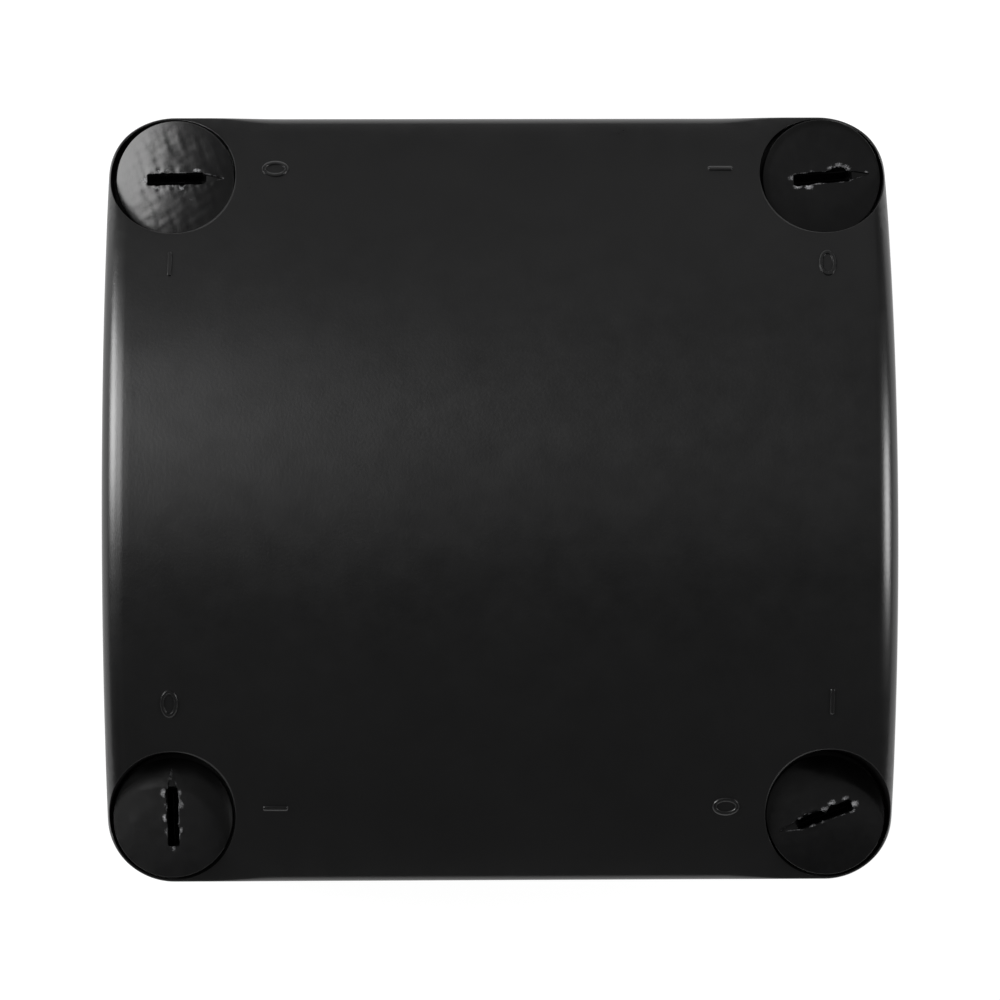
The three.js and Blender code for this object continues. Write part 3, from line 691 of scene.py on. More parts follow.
# Whitened scrapes: centre x and y, radius and strength.
SCRAPES = {
    "top_left": [
        (-2.3, 1.15, 0.35, 0.5), (-1.2, 1.25, 0.3, 0.4), (3.1, 1.15, 0.4, 0.7),
        (-4.1, 0.0, 0.4, 0.8), (-2.6, -1.2, 0.4, 0.45), (-0.4, -1.0, 0.3, 0.4),
        (0.9, -1.4, 0.3, 0.6), (4.5, 0.35, 0.4, 0.9), (5.4, 0.15, 0.4, 0.5),
        (2.2, -3.0, 0.25, 0.35),
    ],
    "bottom_left": [
        (3.5, 1.2, 0.42, 1.0), (0.0, 1.1, 0.35, 0.9), (1.8, 1.0, 0.4, 0.3), (-1.9, 1.0, 0.5, 0.3),
        (1.8, -1.2, 0.5, 0.5), (3.4, -1.1, 0.4, 0.45), (-1.8, -1.1, 0.35, 0.5),
        (-4.15, 0.0, 0.6, 0.35), (6.1, 0.1, 0.3, 0.5), (4.3, 0.4, 0.35, 0.4),
    ],
    "bottom_right": [
        (-4.2, 0.0, 0.5, 1.0), (-3.4, -1.2, 0.4, 0.6), (-1.4, -1.25, 0.4, 0.85),
        (-0.1, -0.8, 0.5, 0.5), (-3.7, 0.8, 0.35, 0.6), (4.5, -0.2, 0.35, 0.6),
        (5.5, 0.15, 0.5, 0.3),
    ],
    "top_right": [
        (-4.15, 0.35, 0.5, 0.5), (-3.5, -0.95, 0.45, 0.8), (-1.9, -1.15, 0.4, 1.0),
        (-1.3, 1.05, 0.4, 0.3), (1.3, 1.3, 0.35, 0.5), (2.6, 1.65, 0.4, 0.6), (3.6, 1.3, 0.35, 0.6),
        (4.2, 0.3, 0.4, 0.55), (6.4, 0.3, 0.25, 0.4),
    ],
}


def arrow_outline():
    """The outline of slot and arrow together, closely spaced, with its outward normals."""
    w = SLOT_WIDTH / 2
    r = 0.3
    left, right = -SLOT_HALF, SLOT_HALF
    knots = [(ARROW_TIP, 0.0), (right + 0.15, ARROW_HALF), (right, ARROW_HALF + 0.06)]
    knots += [tuple(p) for p in arc((right - 0.12, w - 0.12), 0.12, 0, 90, 3)]
    knots += [(right - 0.12, w)]
    knots += [tuple(p) for p in arc((left + r, w - r), r, 90, 180, 5)]
    knots += [tuple(p) for p in arc((left + r, -w + r), r, 180, 270, 5)]
    knots += [(left + r, -w), (right - 0.12, -w)]
    knots += [tuple(p) for p in arc((right - 0.12, -w + 0.12), 0.12, -60, 0, 2)]
    knots += [(right, -ARROW_HALF - 0.06), (right + 0.15, -ARROW_HALF)]
    points = []
    for a, b in zip(knots, knots[1:] + knots[:1]):
        a, b = np.array(a), np.array(b)
        n = max(1, int(np.linalg.norm(b - a) / 0.11))
        points += [a + (b - a) * k / n for k in range(n)]
    points = np.array(points)
    along = np.roll(points, -1, 0) - np.roll(points, 1, 0)
    normals = np.stack([along[:, 1], -along[:, 0]], 1)
    normals /= np.linalg.norm(normals, axis=1)[:, None]
    for _ in range(2):
        normals += (np.roll(normals, 1, 0) + np.roll(normals, -1, 0)) / 2
        normals /= np.linalg.norm(normals, axis=1)[:, None]
    return points, normals


def wear_along(points, marks, seed):
    """How far wear reaches at every point of the slot's outline: bumps with slightly ragged flanks."""
    rng = np.random.default_rng(seed)
    reach = np.zeros(len(points))
    for x, side, half, depth in marks:
        here = np.clip(1 - np.abs(points[:, 0] - x) / half, 0, 1) ** 0.9
        on_side = points[:, 1] * side > 0.2
        reach = np.maximum(reach, here * on_side * depth)
    rough = rng.uniform(0.6, 1.3, len(points))
    rough = (rough + np.roll(rough, 1) + np.roll(rough, -1)) / 3
    return reach * rough


def ripples(plan, height, rng):
    """A gentle unevenness made of crossing waves."""
    total = np.zeros(len(plan))
    for _ in range(14):
        wave = unit(rng.uniform(0, 360)) * 2 * math.pi / rng.uniform(0.9, 3.6)
        total += np.sin(plan @ wave + rng.uniform(0, 6.28))
    return total * height / 2


def shadow_and_wear(corner, plan):
    """How much painted shadow the head has at each place, and how far it is worn away above and to the
    right.
    """
    x, y, radius, soft = LIT_DISC[corner]
    turned = -ZERO_AT[corner] - TURN[corner]
    away = plan - x * unit(turned) - y * unit(turned + 90)
    distance = np.linalg.norm(away, axis=1)
    outside = distance - radius
    rightward = smoothstep(-0.55, 0.0, away @ unit(turned) / np.maximum(distance, 0.1))
    return smoothstep(-soft / 2, soft / 2, outside), np.maximum(outside, 0) * rightward


def screw_mesh(name, corner, seed):
    """A lid screw about its own axis, with its arrow along +X, its slot's edges worn and no lug."""
    points, normals = arrow_outline()
    rng = np.random.default_rng(seed + 40)
    dome, tip_degrees, ripple = HEADS[corner][:3]
    towards = unit(180 - ZERO_AT[corner] - TURN[corner]) * math.tan(math.radians(tip_degrees))

    def head_height(plan):
        worn = WORN_SLOPE[corner] * shadow_and_wear(corner, plan)[1]
        return HEAD_TOP - dome * (plan**2).sum(1) / HEAD_R**2 - plan @ towards - worn

    chips = wear_along(points, CHIPS[corner], seed)
    burrs = wear_along(points, BURRS[corner], seed + 7)
    fringe = 0.04 + 0.05 * rng.random(len(points))
    reach = chips + fringe
    shell = Shell()
    outer = circle((0, 0), 1, 120)
    rim = []
    for r, drop in ((0, CHAMFER), (CHAMFER, 0)):
        plan = outer * (HEAD_R - r)
        rim.append(at_height(plan, head_height(plan) - drop))
    foot = outer * (HEAD_R - 0.2)
    shell.strips([at_height(foot, HEAD_BOTTOM), at_height(outer * HEAD_R, HEAD_BOTTOM + 0.2), *rim])

    def mouth(grow, depth):
        plan = points + normals * np.reshape(grow, (-1, 1))
        return at_height(plan, head_height(plan) - depth)

    top = mouth(reach, 0)
    lips = [
        top,
        mouth(reach * 0.85 - burrs * 0.5, 0.06),
        mouth(chips * 0.82 - burrs * 0.9 + fringe * 0.3, 0.16),
        mouth(chips * 0.78 - burrs, 0.34),
        mouth(chips * 0.74 - burrs * 0.8, 0.34 + 1.1 * np.minimum(chips, 0.5)),
    ]
    in_arrow = points[:, 0] > SLOT_HALF + 0.02
    floor_loop = at_height(points, HEAD_TOP - ARROW_DEPTH - SLOT_LEDGE_DEPTH * ~in_arrow)
    shell.strips([*lips, floor_loop])
    slot = rectangle(SLOT_HALF - LEDGE, SLOT_WIDTH / 2 - LEDGE, 0.24, 4)
    slot_top = at_height(slot, HEAD_TOP - ARROW_DEPTH - SLOT_LEDGE_DEPTH)
    shell.sheet(floor_loop, [slot_top])
    slot_foot = at_height(slot * (0.9, 0.01), HEAD_TOP - SLOT_DEPTH)
    shell.strips([slot_top, slot_foot])
    shell.sheet(slot_foot)

    # the top face, dense about the slot, with plastic heaped up beside the chips
    step = np.arange(-8.0, 8.01, 0.36)
    grid = lattice(step, step)
    grid += rng.uniform(-0.05, 0.05, grid.shape)
    gap = gap_to(top, grid)
    close = [points + normals * (reach + g)[:, None] for g in (0.13, 0.3, 0.52)]
    grid = np.concatenate([grid[gap > 0.72], *close])
    gap = gap_to(top, grid)
    radius = np.linalg.norm(grid, axis=1)
    grid = grid[(gap > 0.09) & (radius < HEAD_R - CHAMFER - 0.2) & ~inside(grid, top[:, :2])]
    distance = np.linalg.norm(grid[:, None] - points[None], axis=2)
    near = distance.argmin(1)
    beside = np.exp(-(((distance.min(1) - reach[near]) / 0.28) ** 2))
    heap = beside * (0.22 * chips[near] + 0.1 * burrs[near])
    calm = np.clip((HEAD_R - CHAMFER - np.linalg.norm(grid, axis=1)) / 1.5, 0, 1)
    lifted = at_height(grid, head_height(grid) + heap + ripples(grid, ripple, rng) * calm)
    shell.sheet(rim[-1], [top], lifted)

    shank = circle((0, 0), SHANK_R, 48)
    shell.sheet(at_height(foot, HEAD_BOTTOM), [at_height(shank, HEAD_BOTTOM)])
    tip = rounded_edge(lambda o: circle((0, 0), SHANK_R - o, 48), SHANK_FOOT, 0.5, up=-1)
    shell.strips([at_height(shank, HEAD_BOTTOM), *tip])
    shell.sheet(tip[-1])
    mesh = shell.mesh(name, weld=0.0008)
    paint_wear_and_shade(mesh, corner, points, chips, burrs, reach, head_height, rng)
    return mesh


def paint_wear_and_shade(mesh, corner, points, chips, burrs, reach, head_height, rng):
    """Stores how scraped the plastic is and how much shade is painted on it at every vertex, for the
    screw's material.
    """
    co = np.empty(len(mesh.vertices) * 3)
    mesh.vertices.foreach_get("co", co)
    co = co.reshape(-1, 3) / MM
    distance = np.linalg.norm(co[:, None, :2] - points[None], axis=2)
    near = distance.argmin(1)
    out = distance.min(1)
    depth = head_height(co[:, :2]) - co[:, 2]
    level = np.clip((0.5 - depth) / 0.3, 0, 1)
    knots = np.arange(0, len(points), 6)
    patchy = np.interp(np.arange(len(points)), knots, rng.random(len(knots)))
    edge = np.exp(-((out / 0.16) ** 2)) * (0.16 + 0.5 * patchy[near] ** 2)
    hit = np.clip((chips + burrs)[near] / 0.3, 0, 1) * 0.5
    scraped = hit * np.exp(-(((out - reach[near]) / 0.14) ** 2))
    value = np.maximum(edge, scraped)
    for x, y, r, strength in SCRAPES[corner]:
        away = np.linalg.norm((co[:, :2] - (x, y)) * (0.7, 1.3), axis=1) / r
        value = np.maximum(value, strength * np.exp(-(away**2)))
    # Painted shade: the slot and arrow pits below a quarter millimetre, and the head outside its lit
    # disc.
    recess_shade = np.clip((depth - 0.25) / 0.4, 0, 1)
    stored = {
        "wear": np.clip(value, 0, 1) * level,
        "painted_shade": np.maximum(recess_shade, shadow_and_wear(corner, co[:, :2])[0]),
    }
    for name, values in stored.items():
        attribute = mesh.attributes.new(name, "FLOAT", "POINT")
        attribute.data.foreach_set("value", values.astype(np.float32))


# ---------------------------------------------------------------- seals, vent and gasket


def seal_profile(seal):
    """Outline of a cable entry: flange outside, neck, lip inside and a stepped web."""
    outer = HALF_Y - 0.1
    seat = SEAT + GAP
    within = HALF_Y - CAVITY_INSET - GAP
    flange, cup, neck, inner = seal["flange"], seal["cup"], seal["hole"] - GAP, seal["inner"]
    rings = []
    steps = 4
    for k in range(steps):
        r = cup * (0.25 + 0.16 * k)
        z = outer - 0.22 - 0.1 * k
        rings += [(r - 0.12, z), (r, z - 0.04), (r + 0.06, z - 0.1)]
    return [
        (0, within + 1.2), (cup - 0.3, within + 1.2), (cup, within + 0.9), (cup, within - 1.5),
        (cup + 0.25, within - 1.8), (inner - 0.8, within - 1.8), (inner - 0.5, within - 1.6),
        (inner, within - 0.15), (inner - 0.1, within), (neck, within), (neck, seat),
        (flange - 0.1, seat), (flange, seat + 0.1), (flange, outer - 0.5),
        (flange - 0.1, outer - 0.22), (flange - 0.35, outer - 0.05), (flange - 0.6, outer),
        (cup + 1.4, outer), (cup + 1.15, outer - 0.12), (cup + 0.9, outer), (cup + 0.1, outer),
        (cup - 0.12, outer - 0.06), (cup - 0.3, outer - 0.3), (cup - 0.45, outer - 0.66),
        (cup - 0.8, outer - 0.7), *reversed(rings), (0, outer - 0.2),
    ]


def vent_mesh():
    """The vent's cap: a domed disc with slots round its rim, on a stem that clips into the wall."""
    outer = HALF_Y - 0.1
    seat = SEAT + GAP
    within = HALF_Y - CAVITY_INSET - GAP
    stem, flange = VENT["hole"] - GAP, VENT["flange"]
    profile = [
        (0, outer - 1.1), (2.4, outer - 1.1), (2.4, within - 2.7), (3.2, within - 2.7),
        (3.4, within - 2.5), (4.7, within - 0.9), (4.6, within), (stem, within), (stem, seat),
        (flange - 0.1, seat), (flange, seat + 0.1), (flange, outer - 0.6),
        (flange - 0.12, outer - 0.3), (flange - 0.45, outer - 0.08),
        (flange - 0.9, outer - 0.02), (2.6, outer), (2.45, outer - 0.15), (2.2, outer - 0.15),
        (2.05, outer), (0, outer),
    ]
    body = finished_mesh(lathe(profile, 72), "vent_body")
    slots = bmesh.new()
    for k in range(6):
        made = bmesh.ops.create_cube(slots, size=MM)
        turn = Matrix.Rotation(math.radians(60 * k), 4, "Z")
        place = turn @ Matrix.Translation((flange * MM, 0, (outer - 0.25) * MM))
        shape = Matrix.Diagonal((2.4, 1.1, 0.9, 1))
        bmesh.ops.transform(slots, matrix=place @ shape, verts=made["verts"])
    return cut_away(body, finished_mesh(slots, "vent_slots"), "vent_cap")


def gasket_mesh():
    """A hollow-backed rubber ring that follows the groove in the lid round all four screws."""
    side = [(0.2, 40.45), (0.24, 41.9), (0.36, 42.15), (0.58, 42.3)]
    under = [(1.22, 40.36), (0.98, 40.3), (0.75, 40.42), (0.52, 40.3), (0.28, 40.36)]
    profile = side + [(1.5 - o, z) for o, z in reversed(side)] + under
    shell = Shell()
    shell.strips([at_height(bitten(-o, CAVITY_INSET, POST_R), z) for o, z in profile], closed=True)
    return shell.mesh("lid_seal")


# ---------------------------------------------------------------- small parts on the board

BOARD_TOP = float(node_box("main_board")[1][2])
ON_BOARD = 0.02  # clearance under pads and leads
LEAD_REACH = 1.35
# Chips with bent leads: node, leads along x or y sides, how many a side, pitch, width, height.
LEADED = [
    ("flash_chip", "y", 4, 1.27, 0.42, 0.75),
    ("memory_chip_1", "x", 17, 0.65, 0.3, 0.55),
    ("memory_chip_2", "x", 17, 0.65, 0.3, 0.55),
    ("ethernet_transformer", "y", 8, 1.78, 0.5, 1.5),
]
OFF_BOARD = ("base_box", "lid", "lid_gasket", "main_board", "antenna_lead_left", "antenna_lead_right")
PLATED_RING = [(0.32, 0), (0.32, 0.03), (0.29, 0.04), (0.17, 0.04), (0.15, 0.02), (0.15, 0)]
SCATTER_FROM, SCATTER_TO = (-43, -17), (43, 44)
RASTER = 0.635
# Kind, length and width, height, and how many places are tried.
SMALL_PARTS = [
    ("small_capacitors", (3.2, 1.6), 1.1, 60),
    ("small_resistors", (1.6, 0.8), 0.42, 260),
    ("small_capacitors", (1.6, 0.8), 0.72, 260),
    ("small_resistors", (1.0, 0.5), 0.34, 300),
]


def bevelled_box(bm, centre, size, edge=0.05):
    """A box with rounded edges, added to a bmesh, in millimetres."""
    made = bmesh.ops.create_cube(bm, size=MM)
    place = Matrix.Translation(Vector(centre) * MM) @ Matrix.Diagonal((*size, 1))
    bmesh.ops.transform(bm, matrix=place, verts=made["verts"])
    edges = list({e for v in made["verts"] for e in v.link_edges})
    bmesh.ops.bevel(bm, geom=edges, offset=edge * MM, segments=2, affect="EDGES", profile=0.5)


def prism(bm, profile, width, matrix):
    """A flat outline in X and Z, given a width along Y and placed by a matrix, all in millimetres."""
    rings = []
    for y in (-width / 2, width / 2):
        corners = [matrix @ Vector((x, y, z)) for x, z in profile]
        rings.append([bm.verts.new(c * MM) for c in corners])
    for i in range(len(profile)):
        j = (i + 1) % len(profile)
        bm.faces.new((rings[0][i], rings[0][j], rings[1][j], rings[1][i]))
    bm.faces.new(rings[0])
    bm.faces.new(rings[1][::-1])


def leads():
    """The bent leads of the chips that have them."""
    bm = bmesh.new()
    for name, side, count, pitch, width, height in LEADED:
        low, high = node_box(name)
        middle = (low + high) / 2
        lift = BOARD_TOP + ON_BOARD
        top = low[2] - lift + height
        profile = [(-0.1, top), (0.4, top), (0.62, 0), (LEAD_REACH, 0)]
        profile += [(LEAD_REACH, 0.15), (0.74, 0.15), (0.5, top + 0.15), (-0.1, top + 0.15)]
        for out in (-1, 1):
            for k in range(count):
                along = (k - (count - 1) / 2) * pitch
                if side == "x":
                    x, y, turn = (high if out > 0 else low)[0], middle[1] + along, 0 if out > 0 else 180
                else:
                    x, y, turn = middle[0] + along, (high if out > 0 else low)[1], 90 * out
                place = Matrix.Translation((x, y, lift)) @ Matrix.Rotation(math.radians(turn), 4, "Z")
                prism(bm, profile, width, place)
    return finished_mesh(bm, "chip_leads")


def free_places(rng, size, taken, tries):
    """Places on the board for a part of a size, clear of everything in taken, which grows."""
    found = []
    for _ in range(tries):
        x, y = np.round(rng.uniform(SCATTER_FROM, SCATTER_TO) / RASTER) * RASTER
        half = np.array(size if rng.random() < 0.5 else size[::-1]) / 2
        low, high = np.array([x, y]) - half, np.array([x, y]) + half
        if min(np.linalg.norm(axis_of(c) - (x, y)) for c in CORNERS) < 11.5:
            continue
        if any(np.all(low < b) and np.all(high > a) for a, b in taken):
            continue
        taken.append((low - 0.3, high + 0.3))
        found.append((x, y, *(2 * half)))
    return found


def board_parts():
    """Small resistors and capacitors, their soldered ends, and plated holes, as four meshes."""
    rng = np.random.default_rng(5)
    leaded = [row[0] for row in LEADED]
    taken = []
    for entry in frame["record"]["subparts"]:
        name = entry["node"]
        low, high = node_box(name)
        if name not in OFF_BOARD and low[2] < BOARD_TOP + 3.2:
            margin = LEAD_REACH + 0.2 if name in leaded else 0.5
            taken.append((low[:2] - margin, high[:2] + margin))
    names = ("small_resistors", "small_capacitors", "solder_ends", "plated_holes")
    meshes = {name: bmesh.new() for name in names}
    for kind, size, height, tries in SMALL_PARTS:
        for x, y, w, d in free_places(rng, size, taken, tries):
            z = BOARD_TOP + ON_BOARD + height / 2
            long = np.array([1, 0]) if w > d else np.array([0, 1])
            body = np.array([w, d]) - long * 0.3 * min(w, d)
            bevelled_box(meshes[kind], (x, y, z), (*(body - 0.04), height - 0.04), 0.04)
            for out in (-1, 1):
                cap = np.where(long == 1, 0.28 * max(w, d) * 0.8, np.array([w, d]))
                px, py = np.array([x, y]) + long * out * (max(w, d) - cap[np.argmax(long)]) / 2
                bevelled_box(meshes["solder_ends"], (px, py, z), (*cap, height), 0.05)
    for x, y, *_ in free_places(rng, (0.7, 0.7), taken, 420):
        place = Matrix.Translation(Vector((x, y, BOARD_TOP + 0.01)) * MM)
        add_turned(meshes["plated_holes"], PLATED_RING, place, 14, closed=True)
    return {name: finished_mesh(bm, name) for name, bm in meshes.items()}


# ---------------------------------------------------------------- materials


class Look:
    """A material whose colour, gloss and bump come from noise in the object's own space."""

    def __init__(self, name):
        self.material = bpy.data.materials.new(name)
        self.material.use_nodes = True
        self.nodes = self.material.node_tree.nodes
        self.shader = self.nodes["Principled BSDF"]
        self.coords = self.nodes.new("ShaderNodeTexCoord").outputs["Object"]

    def feed(self, node, inputs):
        """Sets each input to a number or colour, or links it to another node's output."""
        for key, value in inputs.items():
            if isinstance(value, bpy.types.NodeSocket):
                self.material.node_tree.links.new(value, node.inputs[key])
            else:
                node.inputs[key].default_value = value

    def node(self, kind, output, inputs, **settings):
        made = self.nodes.new(f"ShaderNode{kind}")
        for setting, value in settings.items():
            setattr(made, setting, value)
        self.feed(made, inputs)
        return made.outputs[output]

    def noise(self, scale, detail=3.0, roughness=0.5):
        inputs = {"Vector": self.coords, "Scale": scale, "Detail": detail, "Roughness": roughness}
        return self.node("TexNoise", "Fac", inputs)

    def ramp(self, value, dark, light, start=0.3, end=0.7):
        output = self.node("ValToRGB", "Color", {"Fac": value})
        elements = output.node.color_ramp.elements
        for element, at, colour in zip(elements, (start, end), (dark, light)):
            element.position = at
            element.color = (*colour, 1)
        return output

    def remap(self, value, low, high):
        return self.node("MapRange", "Result", {"Value": value, "To Min": low, "To Max": high})

    def bump(self, height, strength, distance, **normal):
        inputs = {"Height": height, "Strength": strength, "Distance": distance, **normal}
        return self.node("Bump", "Normal", inputs)

    def attribute(self, name):
        return self.node("Attribute", "Fac", {}, attribute_name=name)

    def mix(self, factor, a, b):
        return self.node("Mix", "Result", {"Factor": factor, "A": a, "B": b}, data_type="RGBA")

    def times(self, *inputs, clamp=False):
        """The product of two inputs, plus the third where there is one."""
        operation = "MULTIPLY" if len(inputs) == 2 else "MULTIPLY_ADD"
        numbered = dict(enumerate(inputs))
        return self.node("Math", "Value", numbered, operation=operation, use_clamp=clamp)

    def finish(self, **inputs):
        """Feeds the shader and gives the material."""
        self.feed(self.shader, {key.replace("_", " "): value for key, value in inputs.items()})
        return self.material


def grained_plastic(name, dark, light, rough, grain=2600.0, depth=0.00002, strength=0.35):
    """Moulded plastic: a fine spark-eroded grain, faint mottling and scuffs in its gloss."""
    look = Look(name)
    return look.finish(
        Base_Color=look.ramp(look.noise(60.0, 4.0), dark, light),
        Roughness=look.remap(look.noise(210.0, 6.0, 0.7), rough - 0.05, rough + 0.07),
        Normal=look.bump(look.noise(grain, 2.0, 0.6), strength, depth),
    )


def brushed_metal(name, dark, light, rough):
    look = Look(name)
    cloud = look.noise(300.0, 4.0)
    return look.finish(
        Base_Color=look.ramp(cloud, dark, light),
        Roughness=look.remap(cloud, rough - 0.08, rough + 0.12),
        Normal=look.bump(look.noise(4000.0, 2.0), 0.2, 0.00001),
        Metallic=1.0,
    )


# Painted shadow: the near-black put on the screws where the slot and the well's wall shade them.
PAINTED_SHADE_BLACK = (0.0004, 0.0004, 0.0004, 1)


def scraped_plastic(name, dark, light, rough):
    """The screws' plastic: painted near-black where shade falls in the slot and near the well's wall,
    whitened and roughened where it is scraped.
    """
    look = Look(name)
    unshaded_colour = look.ramp(look.noise(140.0, 4.0), dark, light)
    shaded_colour = look.mix(look.attribute("painted_shade"), unshaded_colour, PAINTED_SHADE_BLACK)
    crumbs = look.noise(4600.0, 4.0, 0.7)
    broken = look.times(look.attribute("wear"), look.remap(crumbs, -0.3, 2.1))
    torn = look.times(broken, 1.7, -0.3, clamp=True)
    white = look.ramp(crumbs, (0.03, 0.03, 0.031), (0.3, 0.3, 0.31), end=0.75)
    gloss = look.remap(look.noise(420.0, 6.0, 0.7), rough - 0.06, rough + 0.08)
    smooth = look.bump(look.noise(330.0, 3.0, 0.6), 0.12, 0.00005)
    return look.finish(
        Base_Color=look.mix(torn, shaded_colour, white),
        Roughness=look.times(torn, 0.4, gloss, clamp=True),
        Normal=look.bump(crumbs, 0.25, 0.00001, Normal=smooth),
    )


BLACK = (0.0028, 0.0028, 0.0029)
BLACK_LIGHT = (0.0036, 0.0036, 0.0037)
SCREW_BLACK = (0.0016, 0.0016, 0.0017)
SCREW_BLACK_LIGHT = (0.0024, 0.0024, 0.0025)

# Each plastic: name, dark and light colour, roughness, and where they differ from the usual, the
# scale, depth and strength of its grain.
PLASTICS = {
    "housing": ("housing_plastic", BLACK, BLACK_LIGHT, 0.29, 2400.0, 0.000035),
    "seal": ("seal_rubber", (0.016, 0.016, 0.017), (0.024, 0.024, 0.025), 0.7, 1800.0),
    "vent": ("vent_plastic", (0.03, 0.03, 0.031), (0.04, 0.04, 0.041), 0.55),
    "membrane": ("vent_film", (0.7, 0.7, 0.68), (0.8, 0.8, 0.78), 0.9, 4000.0),
    "board": ("board_resist", (0.008, 0.055, 0.022), (0.012, 0.075, 0.03), 0.3, 900.0),
    "chip": ("chip_package", (0.014, 0.014, 0.015), (0.022, 0.022, 0.023), 0.5, 5000.0),
    "connector": ("connector_plastic", (0.012, 0.012, 0.013), (0.02, 0.02, 0.021), 0.42),
    "terminal": ("terminal_plastic", (0.02, 0.16, 0.05), (0.03, 0.2, 0.07), 0.42),
    "ferrite": ("ferrite_core", (0.03, 0.027, 0.024), (0.05, 0.045, 0.04), 0.65, 1500.0),
    "capacitor": ("capacitor_sleeve", (0.012, 0.014, 0.03), (0.018, 0.02, 0.04), 0.3),
    "led": ("led_resin", (0.75, 0.74, 0.62), (0.85, 0.84, 0.72), 0.2),
    "ceramic": ("arrester_ceramic", (0.6, 0.56, 0.5), (0.7, 0.66, 0.6), 0.3),
    "tan_ceramic": ("capacitor_ceramic", (0.2, 0.12, 0.06), (0.28, 0.18, 0.09), 0.4, 5000.0),
    "button": ("button_plastic", (0.25, 0.02, 0.015), (0.33, 0.03, 0.02), 0.4),
    "foam": ("grey_foam", (0.04, 0.04, 0.04), (0.08, 0.08, 0.08), 0.95, 1200.0, 0.0002, 0.8),
    "coax": ("coax_jacket", (0.06, 0.06, 0.063), (0.08, 0.08, 0.083), 0.4),
}
# Each metal: name, dark and light colour, and roughness.
METALS = {
    "steel": ("zinc_steel", (0.5, 0.51, 0.53), (0.66, 0.67, 0.69), 0.35),
    "tin": ("tin_plate", (0.6, 0.61, 0.62), (0.72, 0.73, 0.74), 0.3),
    "gold": ("gold_plate", (0.7, 0.5, 0.2), (0.8, 0.6, 0.28), 0.25),
    "heatsink": ("black_anodising", (0.02, 0.02, 0.022), (0.035, 0.035, 0.038), 0.45),
}
looks = {slot: grained_plastic(*row) for slot, row in PLASTICS.items()}
looks |= {slot: brushed_metal(*row) for slot, row in METALS.items()}
looks["screw"] = scraped_plastic("screw_plastic", SCREW_BLACK, SCREW_BLACK_LIGHT, 0.2)

for entry in frame["record"]["subparts"]:
    node = frame["nodes"][entry["node"]]
    node.data.materials.clear()
    node.data.materials.append(looks[entry["material_slot"]])

# ---------------------------------------------------------------- pieces

piece("lid_shell", lid_mesh(), "cover", looks["housing"], ["lid"])
piece("base_shell", base_mesh(), "housing", looks["housing"], ["base_box"])
piece("lid_seal", gasket_mesh(), "cover", looks["seal"], ["lid_gasket"])
for name, seal in SEALS.items():
    mesh = finished_mesh(lathe(seal_profile(seal), 120), name)
    mesh.transform(faced("south", seal["x"], ENTRY_Z))
    piece(f"{name}_rubber", mesh, "housing", looks["seal"], [name])
mesh = vent_mesh()
mesh.transform(faced("south", VENT["x"], ENTRY_Z))
piece("vent_cap", mesh, "housing", looks["vent"], ["vent_plug"])
for corner in CORNERS:
    mesh = screw_mesh("quarter_turn_screw", corner, 11 + CORNERS.index(corner))
    x, y = (axis_of(corner) + HEADS[corner][3]) * MM
    turned = Matrix.Rotation(math.radians(ZERO_AT[corner] + TURN[corner]), 4, "Z")
    mesh.transform(Matrix.Translation((x, y, 0)) @ turned)
    body, node = f"screw_{corner}", f"lid_screw_{corner}"
    piece(f"quarter_turn_screw_{corner}", mesh, body, looks["screw"], [node])

piece("chip_leads", leads(), "housing", looks["tin"])
dressing = {
    "small_resistors": ("chip", "chip"),
    "small_capacitors": ("tan_ceramic", "ceramic"),
    "solder_ends": ("tin", "tin"),
    "plated_holes": ("gold", "gold"),
}
for name, mesh in board_parts().items():
    look, slot = dressing[name]
    piece(name, mesh, "housing", looks[look])

# ---------------------------------------------------------------- stage, light and camera


def glowing_material(name, colour, glow):
    """A matt, faintly clouded surface that glows, for the floor."""
    look = Look(name)
    dim = tuple(c * 0.985 for c in colour)
    return look.finish(
        Base_Color=look.ramp(look.noise(3.0, 2.0), dim, colour),
        Roughness=0.9,
        Emission_Color=(1, 1, 1, 1),
        Emission_Strength=glow,
    )


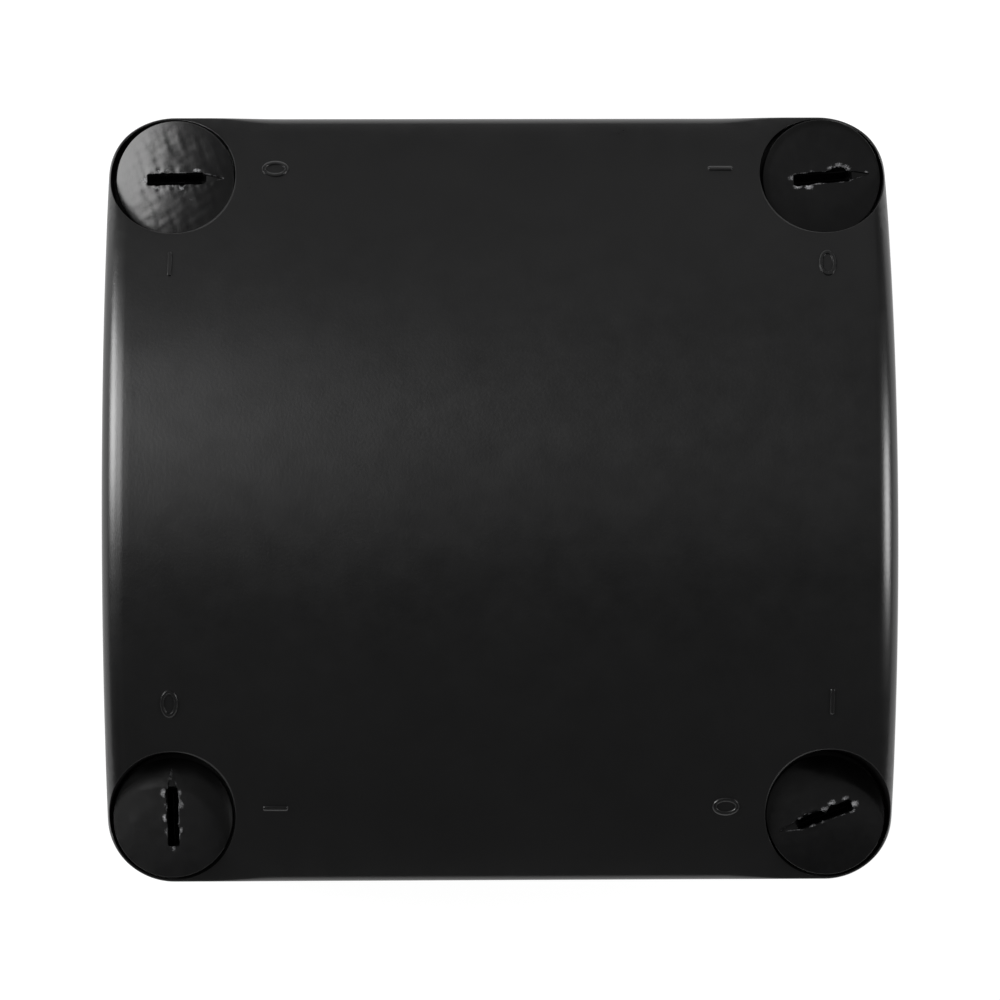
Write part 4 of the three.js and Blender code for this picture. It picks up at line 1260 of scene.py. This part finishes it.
FLOOR_HALF = 3.0
floor_mesh = bpy.data.meshes.new("floor")
floor_corners = [(sx * FLOOR_HALF, sy * FLOOR_HALF, 0) for sx, sy in ((-1, -1), (1, -1), (1, 1), (-1, 1))]
floor_mesh.from_pydata(floor_corners, [], [(0, 1, 2, 3)])
floor = linked("floor", floor_mesh)
floor.location.z = -0.0005
floor_mesh.materials.append(glowing_material("floor_white", (0.08, 0.08, 0.08), 0.97))

MIDDLE = Vector((0, 0, 0.055))


def panel(name, west, north, distance, width, height, radiance):
    """A soft box over the object, leaning west and north of the zenith."""
    light = bpy.data.lights.new(name, "AREA")
    light.shape = "RECTANGLE"
    light.size = width
    light.size_y = height
    light.energy = radiance * math.pi * width * height
    box = linked(name, light)
    out = Vector((-math.tan(math.radians(west)), math.tan(math.radians(north)), 1)).normalized()
    box.location = MIDDLE + out * distance
    side = Vector((0, 1, 0)) if abs(out.x) > abs(out.y) else Vector((1, 0, 0))
    side = (side - out * side.dot(out)).normalized()
    box.rotation_euler = Matrix((side, out.cross(side), out)).transposed().to_euler()
    box.visible_camera = False


# Each panel's lean west and north in degrees, distance, width and height in metres, and radiance.
PANELS = {
    "north_high": (0, 18, 1.1, 1.5, 0.89, 0.11),
    "north_low": (0, 58, 1.1, 1.5, 0.72, 0.24),
    "west_high": (28, 17, 1.1, 0.58, 0.47, 8.2),
    "west_low": (60, 29, 1.1, 0.50, 0.59, 17.0),
    "east_low": (-57, 3, 1.1, 0.40, 0.51, 16.0),
    "south": (0, -52, 1.1, 1.4, 1.07, 0.07),
}
for name, numbers in PANELS.items():
    panel(name, *numbers)
SKY = 0.035

world = bpy.data.worlds.new("studio")
world.use_nodes = True
world.node_tree.nodes["Background"].inputs["Color"].default_value = (1, 1, 1, 1)
world.node_tree.nodes["Background"].inputs["Strength"].default_value = SKY
bpy.context.scene.world = world

LENS = 145.78
CAMERA_SHIFT = 0.06
CAMERA_AT = (-0.010332, -0.045882, 0.620)
CAMERA_TURN = (3.689, -1.048, -0.179)  # degrees about X, Y and Z
camera_data = bpy.data.cameras.new("camera")
camera_data.sensor_width = 36
camera_data.lens = LENS
camera_data.shift_y = CAMERA_SHIFT
camera = linked("camera", camera_data)
camera.location = CAMERA_AT
camera.rotation_mode = "ZYX"
camera.rotation_euler = [math.radians(a) for a in CAMERA_TURN]
bpy.context.scene.camera = camera
bpy.context.scene.view_settings.view_transform = "Standard"
